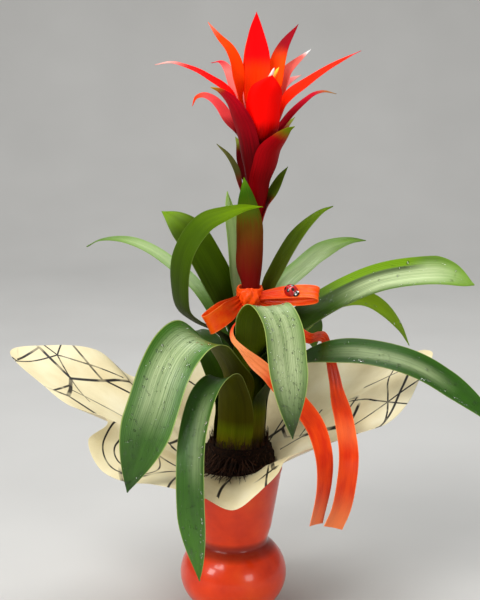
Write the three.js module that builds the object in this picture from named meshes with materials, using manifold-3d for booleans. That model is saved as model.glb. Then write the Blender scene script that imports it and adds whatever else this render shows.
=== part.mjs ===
// A flowering bromeliad in a glazed vase, with its paper wrap, satin ribbon and ladybird ornament.
// Millimetres, +Z up. The origin is the centre of the vase's flat foot, and -Y is the front.
import * as THREE from "three";
import { mergeVertices } from "three/addons/utils/BufferGeometryUtils.js";
import Module from "manifold-3d";

const wasm = await Module();
wasm.setup();

// Vase: a round foot, a narrow waist and an open cup.
const FOOT_RADIUS = 31;
const BULGE = { radius: 46, height: 34, half: 38 };
const WAIST = { radius: 29, height: 63 };
const CUP = { low: 78, lowRadius: 33, rim: 131, rimRadius: 42 };
const VASE_WALL = 4.5;
const VASE_SEGMENTS = 36;

// Potting mix and the plant's seat in it.
const SEAT = { x: 5, radius: 25.4, floor: 139.4 };
const MIX_LEVEL = 133;
const MOUND = { radius: 29.5, top: 152 };
const ROUND_SEGMENTS = 32;

// Flower stalk: its centre leans to +X as it rises, given as [height, x].
const STALK_RADIUS = 4;
const STALK_LEAN = [[140, 5], [150, 5], [205, 9], [281, 14], [365, 20], [440, 20]];
const STALK_TOP = 434;

// Leaf sheaths nest round the stalk like rings, from the innermost outwards.
const SHEATH = { inner: 6, pitch: 1.2, thickness: 0.65, foot: 140 };
const RELEASE = { highest: 253, step: 5 };
const SHEATH_WRAP = 0.42;
const LEAF_THICKNESS = 0.9;

// Bracts stand in nested cones, each level a little higher on the stalk than the last.
const BRACT = { thickness: 0.6, low: 336, step: 8, slope: 0.17, seat: 4.8 };

// The paper lines the cup from a small floor of its own, and flares out over the rim.
const PAPER_THICKNESS = 0.8;
const LINER = { floor: 80, gap: 0.5, corner: 5, middle: 108, lip: CUP.rim + 3.5 };
const RIBBON = { width: 18, gathered: 9, thickness: 0.6, cup: 60 };
const KNOT = { x: 14, z: 281, inner: 8.6, outer: 11, height: 14, lump: [7, 3.2, 7.5] };

const COLOURS = {
  glaze: 0xd8381a,
  paper: 0xe3d3a8,
  soil: 0x2a1a12,
  leaf: 0x4a7a2c,
  bract: 0xe01c08,
  scapeBract: 0x5e5a1c,
  stalk: 0x8a3a1a,
  floret: 0xf4e6b8,
  ribbon: 0xf0601c,
  ladybird: 0xb01414,
};

const degrees = THREE.MathUtils.degToRad;
const smoothstep = THREE.MathUtils.smoothstep;
const mix = THREE.MathUtils.lerp;
const vector = ([x, y, z]) => new THREE.Vector3(x, y, z);
const UP = new THREE.Vector3(0, 0, 1);

// Reads a list of [position, value] pairs with eased steps between them.
function profile(pairs, at) {
  const next = pairs.findIndex(([position]) => position > at);
  if (next === 0) return pairs[0][1];
  if (next < 0) return pairs[pairs.length - 1][1];
  const [a, from] = pairs[next - 1];
  const [b, to] = pairs[next];
  return mix(from, to, smoothstep(at, a, b));
}

function stalkX(z) {
  const last = STALK_LEAN.length - 1;
  for (let i = 1; i <= last; i += 1) {
    const [low, from] = STALK_LEAN[i - 1];
    const [high, to] = STALK_LEAN[i];
    if (z <= high || i === last) return mix(from, to, Math.min(1, Math.max(0, (z - low) / (high - low))));
  }
  return 0;
}

function aroundStalk(azimuth, radius, z) {
  const angle = degrees(azimuth);
  return new THREE.Vector3(stalkX(z) + radius * Math.cos(angle), radius * Math.sin(angle), z);
}

function distanceFromStalk(point) {
  return Math.hypot(point.x - stalkX(point.z), point.y);
}

function meshGeometry(points, triangles) {
  const geometry = new THREE.BufferGeometry();
  const position = points.flatMap((p) => [p.x, p.y, p.z]);
  geometry.setAttribute("position", new THREE.Float32BufferAttribute(position, 3));
  geometry.setIndex(triangles.flat());
  geometry.computeVertexNormals();
  return geometry;
}

function solid(geometry) {
  const bare = geometry.clone();
  bare.deleteAttribute("normal");
  bare.deleteAttribute("uv");
  const merged = mergeVertices(bare, 1e-4);
  return new wasm.Manifold(new wasm.Mesh({
    numProp: 3,
    vertProperties: new Float32Array(merged.attributes.position.array),
    triVerts: new Uint32Array(merged.index.array),
  }));
}

function fromSolid(shape) {
  const { vertProperties, triVerts } = shape.getMesh();
  const geometry = new THREE.BufferGeometry();
  geometry.setAttribute("position", new THREE.BufferAttribute(vertProperties, 3));
  geometry.setIndex(new THREE.BufferAttribute(triVerts, 1));
  geometry.computeVertexNormals();
  return geometry;
}

function fuse(geometries) {
  return fromSolid(geometries.map(solid).reduce((a, b) => a.add(b)));
}

// A strip along a curve, closed all round. Its section is an arc that cups towards the side it faces.
// width, cupAt and thickness are functions of the share of the length; cupAt gives the arc's radius.
// twist is a list of [share of the length, degrees] pairs.
function strip({ curve, side, width, cupAt, thickness, twist = [[0, 0]], stations, columns, pointed }) {
  const rows = stations.length - 1;
  const substeps = 8;
  const tangents = [curve.getTangentAt(0)];
  const across = side.clone().projectOnPlane(tangents[0]).normalize();
  const sides = [across.clone()];
  for (let i = 1; i <= rows; i += 1) {
    for (let k = 1; k <= substeps; k += 1) {
      across.projectOnPlane(curve.getTangentAt(mix(stations[i - 1], stations[i], k / substeps))).normalize();
    }
    tangents.push(curve.getTangentAt(stations[i]));
    sides.push(across.clone());
  }
  const upper = [];
  const lower = [];
  const points = [];
  const put = (p) => points.push(p) - 1;
  for (let i = 0; i <= rows; i += 1) {
    const u = stations[i];
    const centre = curve.getPointAt(u);
    const s = sides[i].clone().applyAxisAngle(tangents[i], degrees(profile(twist, u)));
    const n = tangents[i].clone().cross(s);
    const half = thickness(u) / 2;
    const tip = pointed && i === rows;
    const bend = 1 / cupAt(u, centre);
    const topRow = [];
    const underRow = [];
    for (let j = 0; j <= (tip ? 0 : columns); j += 1) {
      const along = tip ? 0 : (j / columns - 0.5) * width(u);
      const angle = along * bend;
      const p = centre.clone();
      p.addScaledVector(s, Math.sin(angle) / bend);
      p.addScaledVector(n, (1 - Math.cos(angle)) / bend);
      const face = n.clone().multiplyScalar(Math.cos(angle)).addScaledVector(s, -Math.sin(angle));
      topRow.push(put(p.clone().addScaledVector(face, half)));
      underRow.push(put(p.clone().addScaledVector(face, -half)));
    }
    upper.push(topRow);
    lower.push(underRow);
  }
  const triangles = [];
  const quad = (a, b, c, d) => triangles.push([a, b, c], [a, c, d]);
  for (let i = 0; i < rows; i += 1) {
    const ends = pointed && i === rows - 1;
    const [U, V, L, M] = [upper[i], upper[i + 1], lower[i], lower[i + 1]];
    for (let j = 0; j < columns; j += 1) {
      if (ends) triangles.push([U[j], V[0], U[j + 1]], [L[j], L[j + 1], M[0]]);
      else {
        triangles.push([U[j], V[j], V[j + 1]], [U[j], V[j + 1], U[j + 1]]);
        triangles.push([L[j], M[j + 1], M[j]], [L[j], L[j + 1], M[j + 1]]);
      }
    }
    quad(U[0], L[0], M[0], V[0]);
    quad(U[columns], V[V.length - 1], M[M.length - 1], L[columns]);
  }
  for (let j = 0; j < columns; j += 1) {
    quad(upper[0][j], upper[0][j + 1], lower[0][j + 1], lower[0][j]);
    if (!pointed) quad(upper[rows][j], lower[rows][j], lower[rows][j + 1], upper[rows][j + 1]);
  }
  return meshGeometry(points, triangles);
}

// The share of a curve's length at which it passes nearest to a point.
function shareAt(curve, point) {
  const samples = 120;
  let best = 0;
  for (let i = 1; i <= samples; i += 1) {
    const nearer = curve.getPointAt(i / samples).distanceTo(point) < curve.getPointAt(best).distanceTo(point);
    if (nearer) best = i / samples;
  }
  return best;
}

// Even steps from a to b, without a itself.
const steps = (a, b, count) => Array.from({ length: count }, (_, i) => mix(a, b, (i + 1) / count));

// Strap leaf: it stands in the nest of sheaths, lets go at its own height and arches out along its path.
function leaf({ ring, azimuth, path, width, cup = 45, twist, taper = 0.8, rows = 11, columns = 6 }) {
  const radius = SHEATH.inner + SHEATH.pitch * ring;
  const letGo = RELEASE.highest - RELEASE.step * ring;
  const { foot } = SHEATH;
  const heights = [foot, foot + 8, mix(foot, letGo, 0.5), letGo - 14, letGo];
  const nest = heights.map((z) => aroundStalk(azimuth, radius, z));
  const curve = new THREE.CatmullRomCurve3([...nest, ...path.map(vector)], false, "centripetal");
  curve.arcLengthDivisions = 400;
  const free = shareAt(curve, nest[nest.length - 1]);
  const open = free + 0.14;
  const sheathWidth = Math.min(1.15 * width, 2 * Math.PI * radius * SHEATH_WRAP);
  return strip({
    curve,
    side: new THREE.Vector3(-Math.sin(degrees(azimuth)), Math.cos(degrees(azimuth)), 0),
    width: (u) => {
      const body = profile([[free, sheathWidth], [open, width * 0.9], [open + 0.12, width]], u);
      const past = Math.max(0, (u - taper) / (1 - taper));
      return body * Math.max(0.04, 1 - past ** 1.6);
    },
    cupAt: (u, centre) => {
      const held = 1 / Math.max(radius, distanceFromStalk(centre));
      return 1 / mix(held, 1 / cup, smoothstep(u, free, open));
    },
    thickness: (u) => mix(SHEATH.thickness, LEAF_THICKNESS, smoothstep(u, free, open)),
    twist,
    stations: [0, free * 0.5, free * 0.85, ...steps(free * 0.85, 1, rows)],
    columns,
    pointed: true,
  });
}

// Leaves, from the outermost ring of the nest inwards. Paths start where the leaf lets go.
const LEAVES = {
  leaf_low_left: {
    ring: 15, azimuth: 255, width: 29, cup: 30, rows: 13,
    path: [[0, -32, 204], [-7, -46, 222], [-20, -66, 216], [-29, -88, 190], [-31, -104, 150],
      [-29, -109, 110], [-26, -108, 74]],
  },
  leaf_back_left: {
    ring: 14, azimuth: 125, width: 33,
    path: [[-14, 32, 206], [-26, 56, 226], [-42, 88, 227], [-56, 115, 210], [-65, 132, 184]],
  },
  leaf_back_right: {
    ring: 13, azimuth: 58, width: 33,
    path: [[26, 34, 214], [38, 60, 240], [54, 90, 243], [68, 116, 226], [76, 134, 198]],
  },
  leaf_right_arch: {
    ring: 12, azimuth: 345, width: 31, rows: 12,
    path: [[40, -10, 215], [62, -17, 231], [92, -25, 238], [124, -32, 236], [152, -38, 228], [176, -42, 214],
      [201, -46, 196], [219, -48, 179]],
    twist: [[0.3, 0], [0.5, 24], [1, 24]],
  },
  leaf_right_low: {
    ring: 11, azimuth: 30, width: 20, columns: 4,
    path: [[39, 19, 222], [57, 34, 248], [84, 54, 263], [110, 70, 263], [134, 80, 250], [150, 87, 232],
      [160, 91, 213]],
    twist: [[0.3, 0], [0.5, 50], [1, 55]],
  },
  leaf_back: {
    ring: 10, azimuth: 92, width: 34,
    path: [[10, 30, 224], [9, 48, 256], [4, 80, 270], [0, 112, 262], [-2, 140, 238], [-3, 154, 206]],
  },
  leaf_front_left: {
    ring: 9, azimuth: 225, width: 42, rows: 12,
    path: [[-9, -24, 232], [-20, -38, 250], [-33, -54, 257], [-45, -68, 250], [-54, -80, 235],
      [-61, -89, 214], [-69, -96, 191], [-76, -102, 168], [-82, -105, 147]],
    twist: [[0.4, 0], [0.6, -30], [1, -38]],
  },
  leaf_right_channel: {
    ring: 8, azimuth: 355, width: 38, cup: 24, rows: 12, taper: 0.88,
    path: [[32, -4, 232], [48, -4, 248], [68, -1, 263], [96, 3, 279], [124, 5, 290], [152, 4, 295],
      [180, 0, 296], [200, -4, 290]],
    twist: [[0.3, 0], [0.5, 30], [1, 38]],
  },
  leaf_left_far: {
    ring: 7, azimuth: 145, width: 15, columns: 4,
    path: [[-8, 20, 240], [-26, 36, 272], [-47, 56, 291], [-73, 77, 305], [-99, 92, 311], [-120, 100, 309],
      [-133, 104, 302]],
    twist: [[0.35, 0], [0.5, -18], [1, -18]],
  },
  leaf_front: {
    ring: 6, azimuth: 294, width: 38, cup: 70, rows: 12,
    path: [[18, -21, 247], [20, -34, 271], [29, -49, 282], [38, -64, 270], [42, -78, 241], [45, -88, 213],
      [47, -94, 187]],
    twist: [[0.4, 0], [0.6, -2], [1, -2]],
  },
  leaf_right_far: {
    ring: 5, azimuth: 50, width: 17, columns: 4,
    path: [[27, 20, 256], [44, 45, 281], [61, 70, 291], [76, 90, 299], [92, 106, 304], [107, 114, 306],
      [121, 118, 305]],
    twist: [[0.35, 0], [0.55, 45], [1, 45]],
  },
  leaf_left_curl: {
    ring: 4, azimuth: 200, width: 24, rows: 14, taper: 0.68,
    path: [[-15, -4, 250], [-31, -6, 259], [-42, -11, 270], [-45, -16, 291], [-42, -20, 316],
      [-34, -24, 334], [-22, -28, 347], [-7, -31, 354], [9, -32, 359], [24, -32, 360]],
    twist: [[0.4, 0], [0.7, 8], [0.9, 34], [1, 38]],
  },
  leaf_left_broad: {
    ring: 3, azimuth: 150, width: 33, taper: 0.85,
    path: [[-3, 13, 256], [-10, 18, 280], [-23, 24, 305], [-36, 30, 325], [-50, 37, 339], [-61, 44, 344]],
    twist: [[0.45, 0], [0.65, -24], [1, -30]],
  },
  leaf_right_upright: {
    ring: 2, azimuth: 24, width: 15.5, columns: 4,
    path: [[27, 8, 266], [30, 11, 286], [37, 15, 300], [45, 20, 314], [54, 25, 327], [65, 31, 338],
      [76, 36, 346], [85, 40, 349]],
    twist: [[0.45, 0], [0.65, 24], [1, 24]],
  },
  leaf_back_slim: {
    ring: 1, azimuth: 130, width: 15, columns: 4, taper: 0.86,
    path: [[6, 15, 268], [3, 23, 288], [2, 30, 308], [0, 38, 329], [-3, 46, 348], [-5, 52, 360]],
  },
  leaf_inner_short: {
    ring: 0, azimuth: 85, width: 12, columns: 4, rows: 8,
    path: [[14, 15, 268], [16, 26, 290], [20, 35, 308], [23, 40, 320]],
  },
};

// Bract: it hugs the stalk at its level, rises with the cone of its neighbours and spreads along its path.
function bract({ level, base = BRACT.low + BRACT.step * level, azimuth, leave, path, width, seatWidth = 10,
  slope = BRACT.slope, cup = 16, twist, taper = 0.62, point = 1.6, rows = 9, columns = 4 }) {
  const radiusAt = (z) => BRACT.seat + slope * (z - base);
  const nest = [base, mix(base, leave, 0.4), mix(base, leave, 0.8), leave];
  const points = nest.map((z) => aroundStalk(azimuth, radiusAt(z), z));
  const curve = new THREE.CatmullRomCurve3([...points, ...path.map(vector)], false, "centripetal");
  curve.arcLengthDivisions = 400;
  const free = shareAt(curve, points[points.length - 1]);
  const open = Math.min(0.9, free + 0.2);
  return strip({
    curve,
    side: new THREE.Vector3(-Math.sin(degrees(azimuth)), Math.cos(degrees(azimuth)), 0),
    width: (u) => {
      const body = profile([[0, seatWidth], [Math.max(free, 0.3), width], [1, width]], u);
      const past = Math.max(0, (u - taper) / (1 - taper));
      return body * Math.max(0.05, 1 - past ** point);
    },
    cupAt: (u, centre) => {
      const held = 1 / Math.max(BRACT.seat, distanceFromStalk(centre));
      return 1 / mix(held, 1 / cup, smoothstep(u, free, open));
    },
    thickness: () => BRACT.thickness,
    twist,
    stations: [0, ...steps(0, 1, rows)],
    columns,
    pointed: true,
  });
}

// Bracts, from the lowest level upwards; the two on one level stand on opposite sides.
const BRACTS = {
  bract_scape_front: {
    base: 262, slope: 0.1, azimuth: 270, leave: 290, width: 25, taper: 0.62, cup: 14, rows: 10, columns: 6,
    path: [[13.5, -10, 306], [13.7, -13, 322], [13.5, -15, 340], [12, -17, 356], [9, -20, 382]],
  },
  bract_low_left: {
    level: 0, azimuth: 190, leave: 350, width: 9,
    path: [[7, -3, 366], [2.5, -4, 386], [-4, -4, 398], [-13, -4, 407]],
    twist: [[0.3, 0], [0.6, -40], [1, -40]],
  },
  bract_low_right: {
    level: 0, azimuth: 10, leave: 345, width: 11,
    path: [[28, 2, 355], [32, 3, 364], [36, 4, 372], [40, 5, 380], [45, 7, 387]],
    twist: [[0.3, 0], [0.6, 35], [1, 35]],
  },
  bract_front_right: {
    level: 1, azimuth: 300, leave: 375, width: 26, columns: 6,
    path: [[28, -13, 389], [31, -17, 401], [37, -21, 411], [44, -24, 420], [49, -25, 423]],
  },
  bract_low_back: {
    level: 1, azimuth: 115, leave: 365, width: 14,
    path: [[9, 21, 388], [6, 31, 402], [2, 40, 408]],
  },
  bract_front_left: {
    level: 2, azimuth: 225, leave: 385, width: 26, columns: 6,
    path: [[9, -15, 411], [4, -19, 428], [-2, -22, 442], [-10, -25, 451], [-17, -27, 454]],
  },
  bract_back_right_low: {
    level: 2, azimuth: 66, leave: 375, width: 15,
    path: [[34, 22, 400], [42, 34, 416], [52, 45, 424]],
  },
  bract_left_small: {
    level: 3, azimuth: 170, leave: 395, width: 13,
    path: [[4, 4, 416], [-5, 7, 427], [-11, 9, 436], [-17, 10, 442], [-24, 10, 445], [-30, 10, 443],
      [-33, 10, 436]],
    twist: [[0.4, 0], [0.6, -35], [1, -35]],
  },
  bract_right_thin: {
    level: 3, azimuth: 12, leave: 385, width: 7,
    path: [[36, 4, 415], [42, 6, 424], [50, 7, 433], [59, 8, 441], [66, 9, 446], [74, 9, 448], [84, 9, 446]],
    twist: [[0.3, 0], [0.5, 35], [1, 35]],
  },
  bract_centre_front: {
    level: 4, azimuth: 275, leave: 400, width: 31, cup: 18, taper: 0.78, point: 2.4, columns: 6,
    path: [[24, -22, 424], [25.5, -26, 443], [29, -28, 455], [31, -27, 463]],
  },
  bract_back: {
    level: 4, azimuth: 92, leave: 400, width: 20, columns: 6,
    path: [[19, 25, 426], [17, 41, 450], [15, 62, 464]],
  },
  bract_left_far: {
    level: 5, azimuth: 190, leave: 405, width: 12, taper: 0.4, point: 1.1, rows: 11,
    path: [[4, -5, 431], [-1, -5, 445], [-8, -5, 453], [-17, -6, 459], [-27, -6, 465], [-37, -6, 469],
      [-49, -6, 472], [-62, -6, 470]],
    twist: [[0.35, 0], [0.55, -45], [1, -45]],
  },
  bract_right_big: {
    level: 5, azimuth: 352, leave: 402, width: 17, taper: 0.35, point: 1.1, rows: 11,
    path: [[39, -8, 430], [42, -8, 440], [47, -8, 447], [56, -8, 454], [67, -8, 462], [78, -7, 469],
      [91, -7, 476], [102, -6, 481]],
    twist: [[0.35, 0], [0.55, 45], [1, 45]],
  },
  bract_left_back: {
    level: 6, azimuth: 140, leave: 415, width: 13,
    path: [[5, 19, 440], [1, 25, 452], [-4, 32, 464], [-10, 38, 470], [-18, 44, 469]],
    twist: [[0.4, 0], [0.6, -25], [1, -25]],
  },
  bract_right_second: {
    level: 6, azimuth: 25, leave: 412, width: 13, seatWidth: 8,
    path: [[36, 14, 436], [39, 17, 451], [44, 20, 463], [52, 24, 471], [64, 28, 481]],
    twist: [[0.4, 0], [0.6, 30], [1, 30]],
  },
  bract_right_third: {
    level: 7, azimuth: 76, leave: 418, width: 12, seatWidth: 6,
    path: [[27, 27, 437], [38, 32, 448], [47, 37, 455], [57, 43, 459]],
  },
  bract_left_upper: {
    level: 7, azimuth: 168, leave: 420, width: 14, seatWidth: 8,
    path: [[5, 3, 443], [4, 5, 458], [2, 8, 471], [-3, 10, 482], [-11, 12, 491], [-20, 14, 503]],
    twist: [[0.4, 0], [0.6, -35], [1, -35]],
  },
  bract_right_upper: {
    level: 8, azimuth: 40, leave: 425, width: 15,
    path: [[34, 11, 447], [35, 13, 463], [37.5, 15, 474], [42, 18, 485], [53, 21, 501]],
    twist: [[0.4, 0], [0.6, 25], [1, 25]],
  },
  bract_back_upper: {
    level: 9, azimuth: 105, leave: 428, width: 15,
    path: [[15, 18, 450], [14, 25, 472], [12, 36, 490]],
  },
  bract_centre_top: {
    level: 10, azimuth: 85, leave: 432, width: 21, cup: 22, taper: 0.6, columns: 6,
    path: [[20, 9, 448], [20, 10, 475], [19, 8, 495], [19, 4, 511]],
  },
};

// Vase: one closed outline turned about the axis, hollow down into the round foot.
function vaseGeometry() {
  const profilePoints = [[0, 0], [FOOT_RADIUS - 1, 0], [FOOT_RADIUS + 2, 2.5]];
  for (const slope of [-42, -20, 0, 20, 38]) {
    const angle = degrees(slope);
    profilePoints.push([BULGE.radius * Math.cos(angle), BULGE.height + BULGE.half * Math.sin(angle)]);
  }
  profilePoints.push([WAIST.radius, WAIST.height], [WAIST.radius + 1.5, WAIST.height + 5]);
  for (const z of [CUP.low, 96, 113, CUP.rim - 3]) profilePoints.push([cupInside(z) + VASE_WALL, z]);
  profilePoints.push([CUP.rimRadius, CUP.rim - 1], [CUP.rimRadius - 1.6, CUP.rim]);
  profilePoints.push([CUP.rimRadius - 3.4, CUP.rim - 0.3]);
  for (const z of [CUP.rim - 2.5, CUP.low]) profilePoints.push([cupInside(z), z]);
  profilePoints.push([WAIST.radius - VASE_WALL - 1, WAIST.height + 1]);
  for (const slope of [30, 0, -30]) {
    const angle = degrees(slope);
    profilePoints.push([
      (BULGE.radius - VASE_WALL) * Math.cos(angle),
      BULGE.height + (BULGE.half - VASE_WALL) * Math.sin(angle),
    ]);
  }
  profilePoints.push([FOOT_RADIUS - 6, VASE_WALL + 1], [0, VASE_WALL]);
  return turned(profilePoints, VASE_SEGMENTS);
}

// The inside radius of the cup at a height: the cup widens evenly.
function cupInside(z) {
  return mix(CUP.lowRadius, CUP.rimRadius, (z - CUP.low) / (CUP.rim - CUP.low)) - VASE_WALL;
}

function turned(outline, segments) {
  const points = outline.map(([r, z]) => new THREE.Vector2(r, z));
  return new THREE.LatheGeometry(points, segments).rotateX(Math.PI / 2);
}

// The liner and the mix inside it follow the cup with a small gap.
const linerOutside = (z) => cupInside(z) - LINER.gap;
const mixOutside = (z) => linerOutside(z) - PAPER_THICKNESS - 0.6;

// Potting mix: it fills the lined cup and heaps round the plant, which stands in a plain hole.
function pottingMixGeometry() {
  const floor = LINER.floor + PAPER_THICKNESS + 0.4;
  const wall = mixOutside(floor + LINER.corner);
  const shoulder = CUP.rim - 3;
  const fill = turned([
    [0, floor], [wall - 6, floor], [wall, floor + LINER.corner], [mixOutside(shoulder), shoulder],
    [mixOutside(shoulder) - 2, MIX_LEVEL], [0, MIX_LEVEL + 2],
  ], ROUND_SEGMENTS);
  const { radius, top } = MOUND;
  const heap = turned([
    [0, MIX_LEVEL - 8], [radius - 2, MIX_LEVEL - 8], [radius, MIX_LEVEL - 1], [radius - 0.5, MIX_LEVEL + 8],
    [radius - 2, top - 1.5], [SEAT.radius, top], [0, top + 4],
  ], ROUND_SEGMENTS).translate(SEAT.x, 0, 0);
  const hole = turned([
    [0, SEAT.floor], [SEAT.radius, SEAT.floor], [SEAT.radius, top + 20], [0, top + 20],
  ], ROUND_SEGMENTS).translate(SEAT.x, 0, 0);
  return fromSolid(solid(fill).add(solid(heap)).subtract(solid(hole)));
}

// The paper's outline in plan and height, going round from the right corner by the back.
const PAPER_OUTLINE = [
  [170, 12, 227], [143, 58, 216], [92, 92, 206], [30, 116, 200], [-40, 108, 192], [-88, 62, 191],
  [-120, 46, 221], [-158, 28, 230], [-187, 0, 233], [-154, -36, 211], [-134, -46, 198], [-103, -47, 185],
  [-117, -62, 175], [-106, -80, 156], [-86, -89, 149], [-62, -92, 148], [-26, -97, 141], [0, -99, 130],
  [19, -95, 141], [36, -85, 154], [44, -74, 162], [76, -63, 170], [102, -51, 175], [128, -37, 180],
  [146, -20, 193], [158, -2, 210],
];

// Degrees between the paper's columns, and the shares of the flare at which its rows lie.
const PAPER_STEP = 8;
const PAPER_FLARE = [0, 0.08, 0.24, 0.45, 0.7, 1];

// The paper wrap: a sheet that lines the cup, climbs over the rim and flares out to its outline.
function paperGeometry() {
  const outline = new THREE.CatmullRomCurve3(PAPER_OUTLINE.map(vector), true, "centripetal");
  const columns = [];
  PAPER_OUTLINE.forEach(([x, y], i) => {
    const [nx, ny] = PAPER_OUTLINE[(i + 1) % PAPER_OUTLINE.length];
    const turn = Math.abs(Math.atan2(x * ny - y * nx, x * nx + y * ny));
    const parts = Math.max(1, Math.round(turn / degrees(PAPER_STEP)));
    for (let k = 0; k < parts; k += 1) columns.push(outline.getPoint((i + k / parts) / PAPER_OUTLINE.length));
  });
  const half = PAPER_THICKNESS / 2;
  const rowPoints = (edge) => {
    const angle = Math.atan2(edge.y, edge.x);
    const out = new THREE.Vector3(Math.cos(angle), Math.sin(angle), 0);
    const at = (r, z) => out.clone().multiplyScalar(r).setZ(z);
    const lined = (z) => at(linerOutside(z) - half, z);
    const reach = Math.hypot(edge.x, edge.y);
    const bend = at(mix(CUP.rimRadius + 4, reach, 0.22), mix(LINER.lip + 7, edge.z, 0.3));
    const curve = new THREE.QuadraticBezierCurve3(lined(LINER.lip), bend, edge);
    const turnUp = LINER.floor + LINER.corner;
    const corner = at(linerOutside(turnUp) - LINER.corner, LINER.floor + half);
    return [corner, lined(turnUp), lined(LINER.middle), ...PAPER_FLARE.map((t) => curve.getPoint(t))];
  };
  const grid = columns.map(rowPoints);
  const count = grid.length;
  const depth = grid[0].length;
  const pointAt = (j, i) => grid[(j + count) % count][i];
  const points = [LINER.floor + PAPER_THICKNESS, LINER.floor].map((z) => new THREE.Vector3(0, 0, z));
  const index = (j, i, face) => 2 + 2 * ((j % count) * depth + i) + face;
  for (let j = 0; j < count; j += 1) {
    for (let i = 0; i < depth; i += 1) {
      const along = pointAt(j, Math.min(depth - 1, i + 1)).clone().sub(pointAt(j, Math.max(0, i - 1)));
      const round = pointAt(j + 1, i).clone().sub(pointAt(j - 1, i));
      const face = along.cross(round).normalize();
      points.push(pointAt(j, i).clone().addScaledVector(face, half));
      points.push(pointAt(j, i).clone().addScaledVector(face, -half));
    }
  }
  const triangles = [];
  const quad = (a, b, c, d) => triangles.push([a, b, c], [a, c, d]);
  for (let j = 0; j < count; j += 1) {
    triangles.push([0, index(j, 0, 0), index(j + 1, 0, 0)], [1, index(j + 1, 0, 1), index(j, 0, 1)]);
    for (let i = 0; i + 1 < depth; i += 1) {
      quad(index(j, i, 0), index(j, i + 1, 0), index(j + 1, i + 1, 0), index(j + 1, i, 0));
      triangles.push([index(j, i, 1), index(j + 1, i + 1, 1), index(j, i + 1, 1)]);
      triangles.push([index(j, i, 1), index(j + 1, i, 1), index(j + 1, i + 1, 1)]);
    }
    const end = depth - 1;
    quad(index(j, end, 0), index(j, end, 1), index(j + 1, end, 1), index(j + 1, end, 0));
  }
  return meshGeometry(points, triangles);
}

// The stalk is a plain round stem along its leaning centre line.
function stalkGeometry() {
  const points = STALK_LEAN.slice(0, -1).map(([z, x]) => new THREE.Vector3(x, 0, z));
  points.push(new THREE.Vector3(stalkX(STALK_TOP), 0, STALK_TOP));
  const sides = 12;
  const ring = [];
  for (let i = 0; i < sides; i += 1) {
    const angle = (2 * Math.PI * i) / sides;
    ring.push(new THREE.Vector2(STALK_RADIUS * Math.cos(angle), STALK_RADIUS * Math.sin(angle)));
  }
  const extrudePath = new THREE.CatmullRomCurve3(points);
  return new THREE.ExtrudeGeometry(new THREE.Shape(ring), { steps: 14, extrudePath, bevelEnabled: false });
}

// One length of satin ribbon along a path, square at both ends.
function ribbonStrip({ path, side, twist, rows, widthAt }) {
  const curve = new THREE.CatmullRomCurve3(path, false, "centripetal");
  curve.arcLengthDivisions = 300;
  return strip({
    curve,
    side,
    width: (u) => profile(widthAt, u),
    cupAt: () => RIBBON.cup,
    thickness: () => RIBBON.thickness,
    twist,
    stations: [0, ...steps(0, 1, rows)],
    columns: 1,
    pointed: false,
  });
}

// A loop's own frame: its root, its reach to the far end, its width's direction and the way it opens.
function loopFrame({ root, far, side }) {
  const start = vector(root);
  const reach = vector(far).sub(start);
  const across = vector(side).projectOnPlane(reach.clone().normalize()).normalize();
  return { start, reach, across, opening: across.clone().cross(reach).normalize() };
}

// A loop of the bow leaves the knot, turns at its far end and comes back to the knot.
function bowLoop(form) {
  const { start, reach, across, opening } = loopFrame(form);
  const path = LOOP_OUTLINE.map(([out, apart]) => (
    start.clone().addScaledVector(reach, out).addScaledVector(opening, apart * form.gap)
  ));
  const widthAt = [[0, RIBBON.gathered], [0.25, form.width], [0.75, form.width], [1, RIBBON.gathered]];
  return ribbonStrip({ path, side: across, rows: 12, widthAt });
}

function ribbonTail({ path, side, twist, rows, widthAt }) {
  return ribbonStrip({ path: path.map(vector), side: vector(side), twist, rows, widthAt });
}

// The knot is a band round the stalk, drawn tight.
function knotGeometry() {
  const { inner, outer, height } = KNOT;
  const low = -height / 2;
  const high = height / 2;
  const band = turned([
    [inner, low], [outer - 0.6, low], [outer, low + 3], [outer - 0.9, 0],
    [outer, high - 3], [outer - 0.6, high], [inner, high], [inner, low],
  ], 20);
  const lump = new THREE.SphereGeometry(1, 10, 8).scale(...KNOT.lump);
  return fuse([band.translate(KNOT.x, 0, KNOT.z), lump.translate(KNOT.x, -outer, KNOT.z)]);
}

// The share of the loop's reach, and of its gap, at each point round a loop.
const LOOP_OUTLINE = [
  [0, -0.16], [0.4, -0.46], [0.8, -0.5], [0.97, -0.25], [1, 0.05],
  [0.96, 0.3], [0.76, 0.5], [0.4, 0.44], [0, 0.16],
];

const BOW_LOOPS = {
  left: { root: [6.5, -5, 278], far: [-21, -28, 262], gap: 9, side: [-0.4, -0.1, 0.9], width: 17 },
  right: { root: [21, -5, 280], far: [70, -20, 286], gap: 10, side: [0, 0.77, 0.64], width: 13 },
};

// The tails fall from the knot, pass between the leaves and lie over the paper's front.
const RIBBON_TAILS = {
  left: {
    path: [[10, -9, 276], [7, -15, 267], [-0.5, -24, 258], [0, -34, 252], [7, -43, 246], [17, -48, 237],
      [32, -54, 225], [50, -60, 208], [65, -69, 190], [72, -79, 168], [72, -85, 145], [66, -87, 113]],
    side: [1, 0, 0.2], rows: 16,
    twist: [[0, 60], [0.2, 60], [0.38, 20], [0.55, 0], [1, -25]],
    widthAt: [[0.2, 5], [0.34, 12], [0.46, RIBBON.width]],
  },
  right: {
    path: [[20, -7, 277], [40, -11, 267], [52, -25, 257], [62, -24, 250], [70, -11, 248], [77, 5, 242],
      [82, 4, 225], [86, -28, 205], [90, -58, 187], [92, -78, 167], [90, -84, 146], [86, -84, 124],
      [80, -84, 109]],
    side: [0.4, 0.3, 0.8], rows: 20,
    widthAt: [[0.35, RIBBON.gathered], [0.5, 12], [0.62, RIBBON.width]],
  },
};

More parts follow.
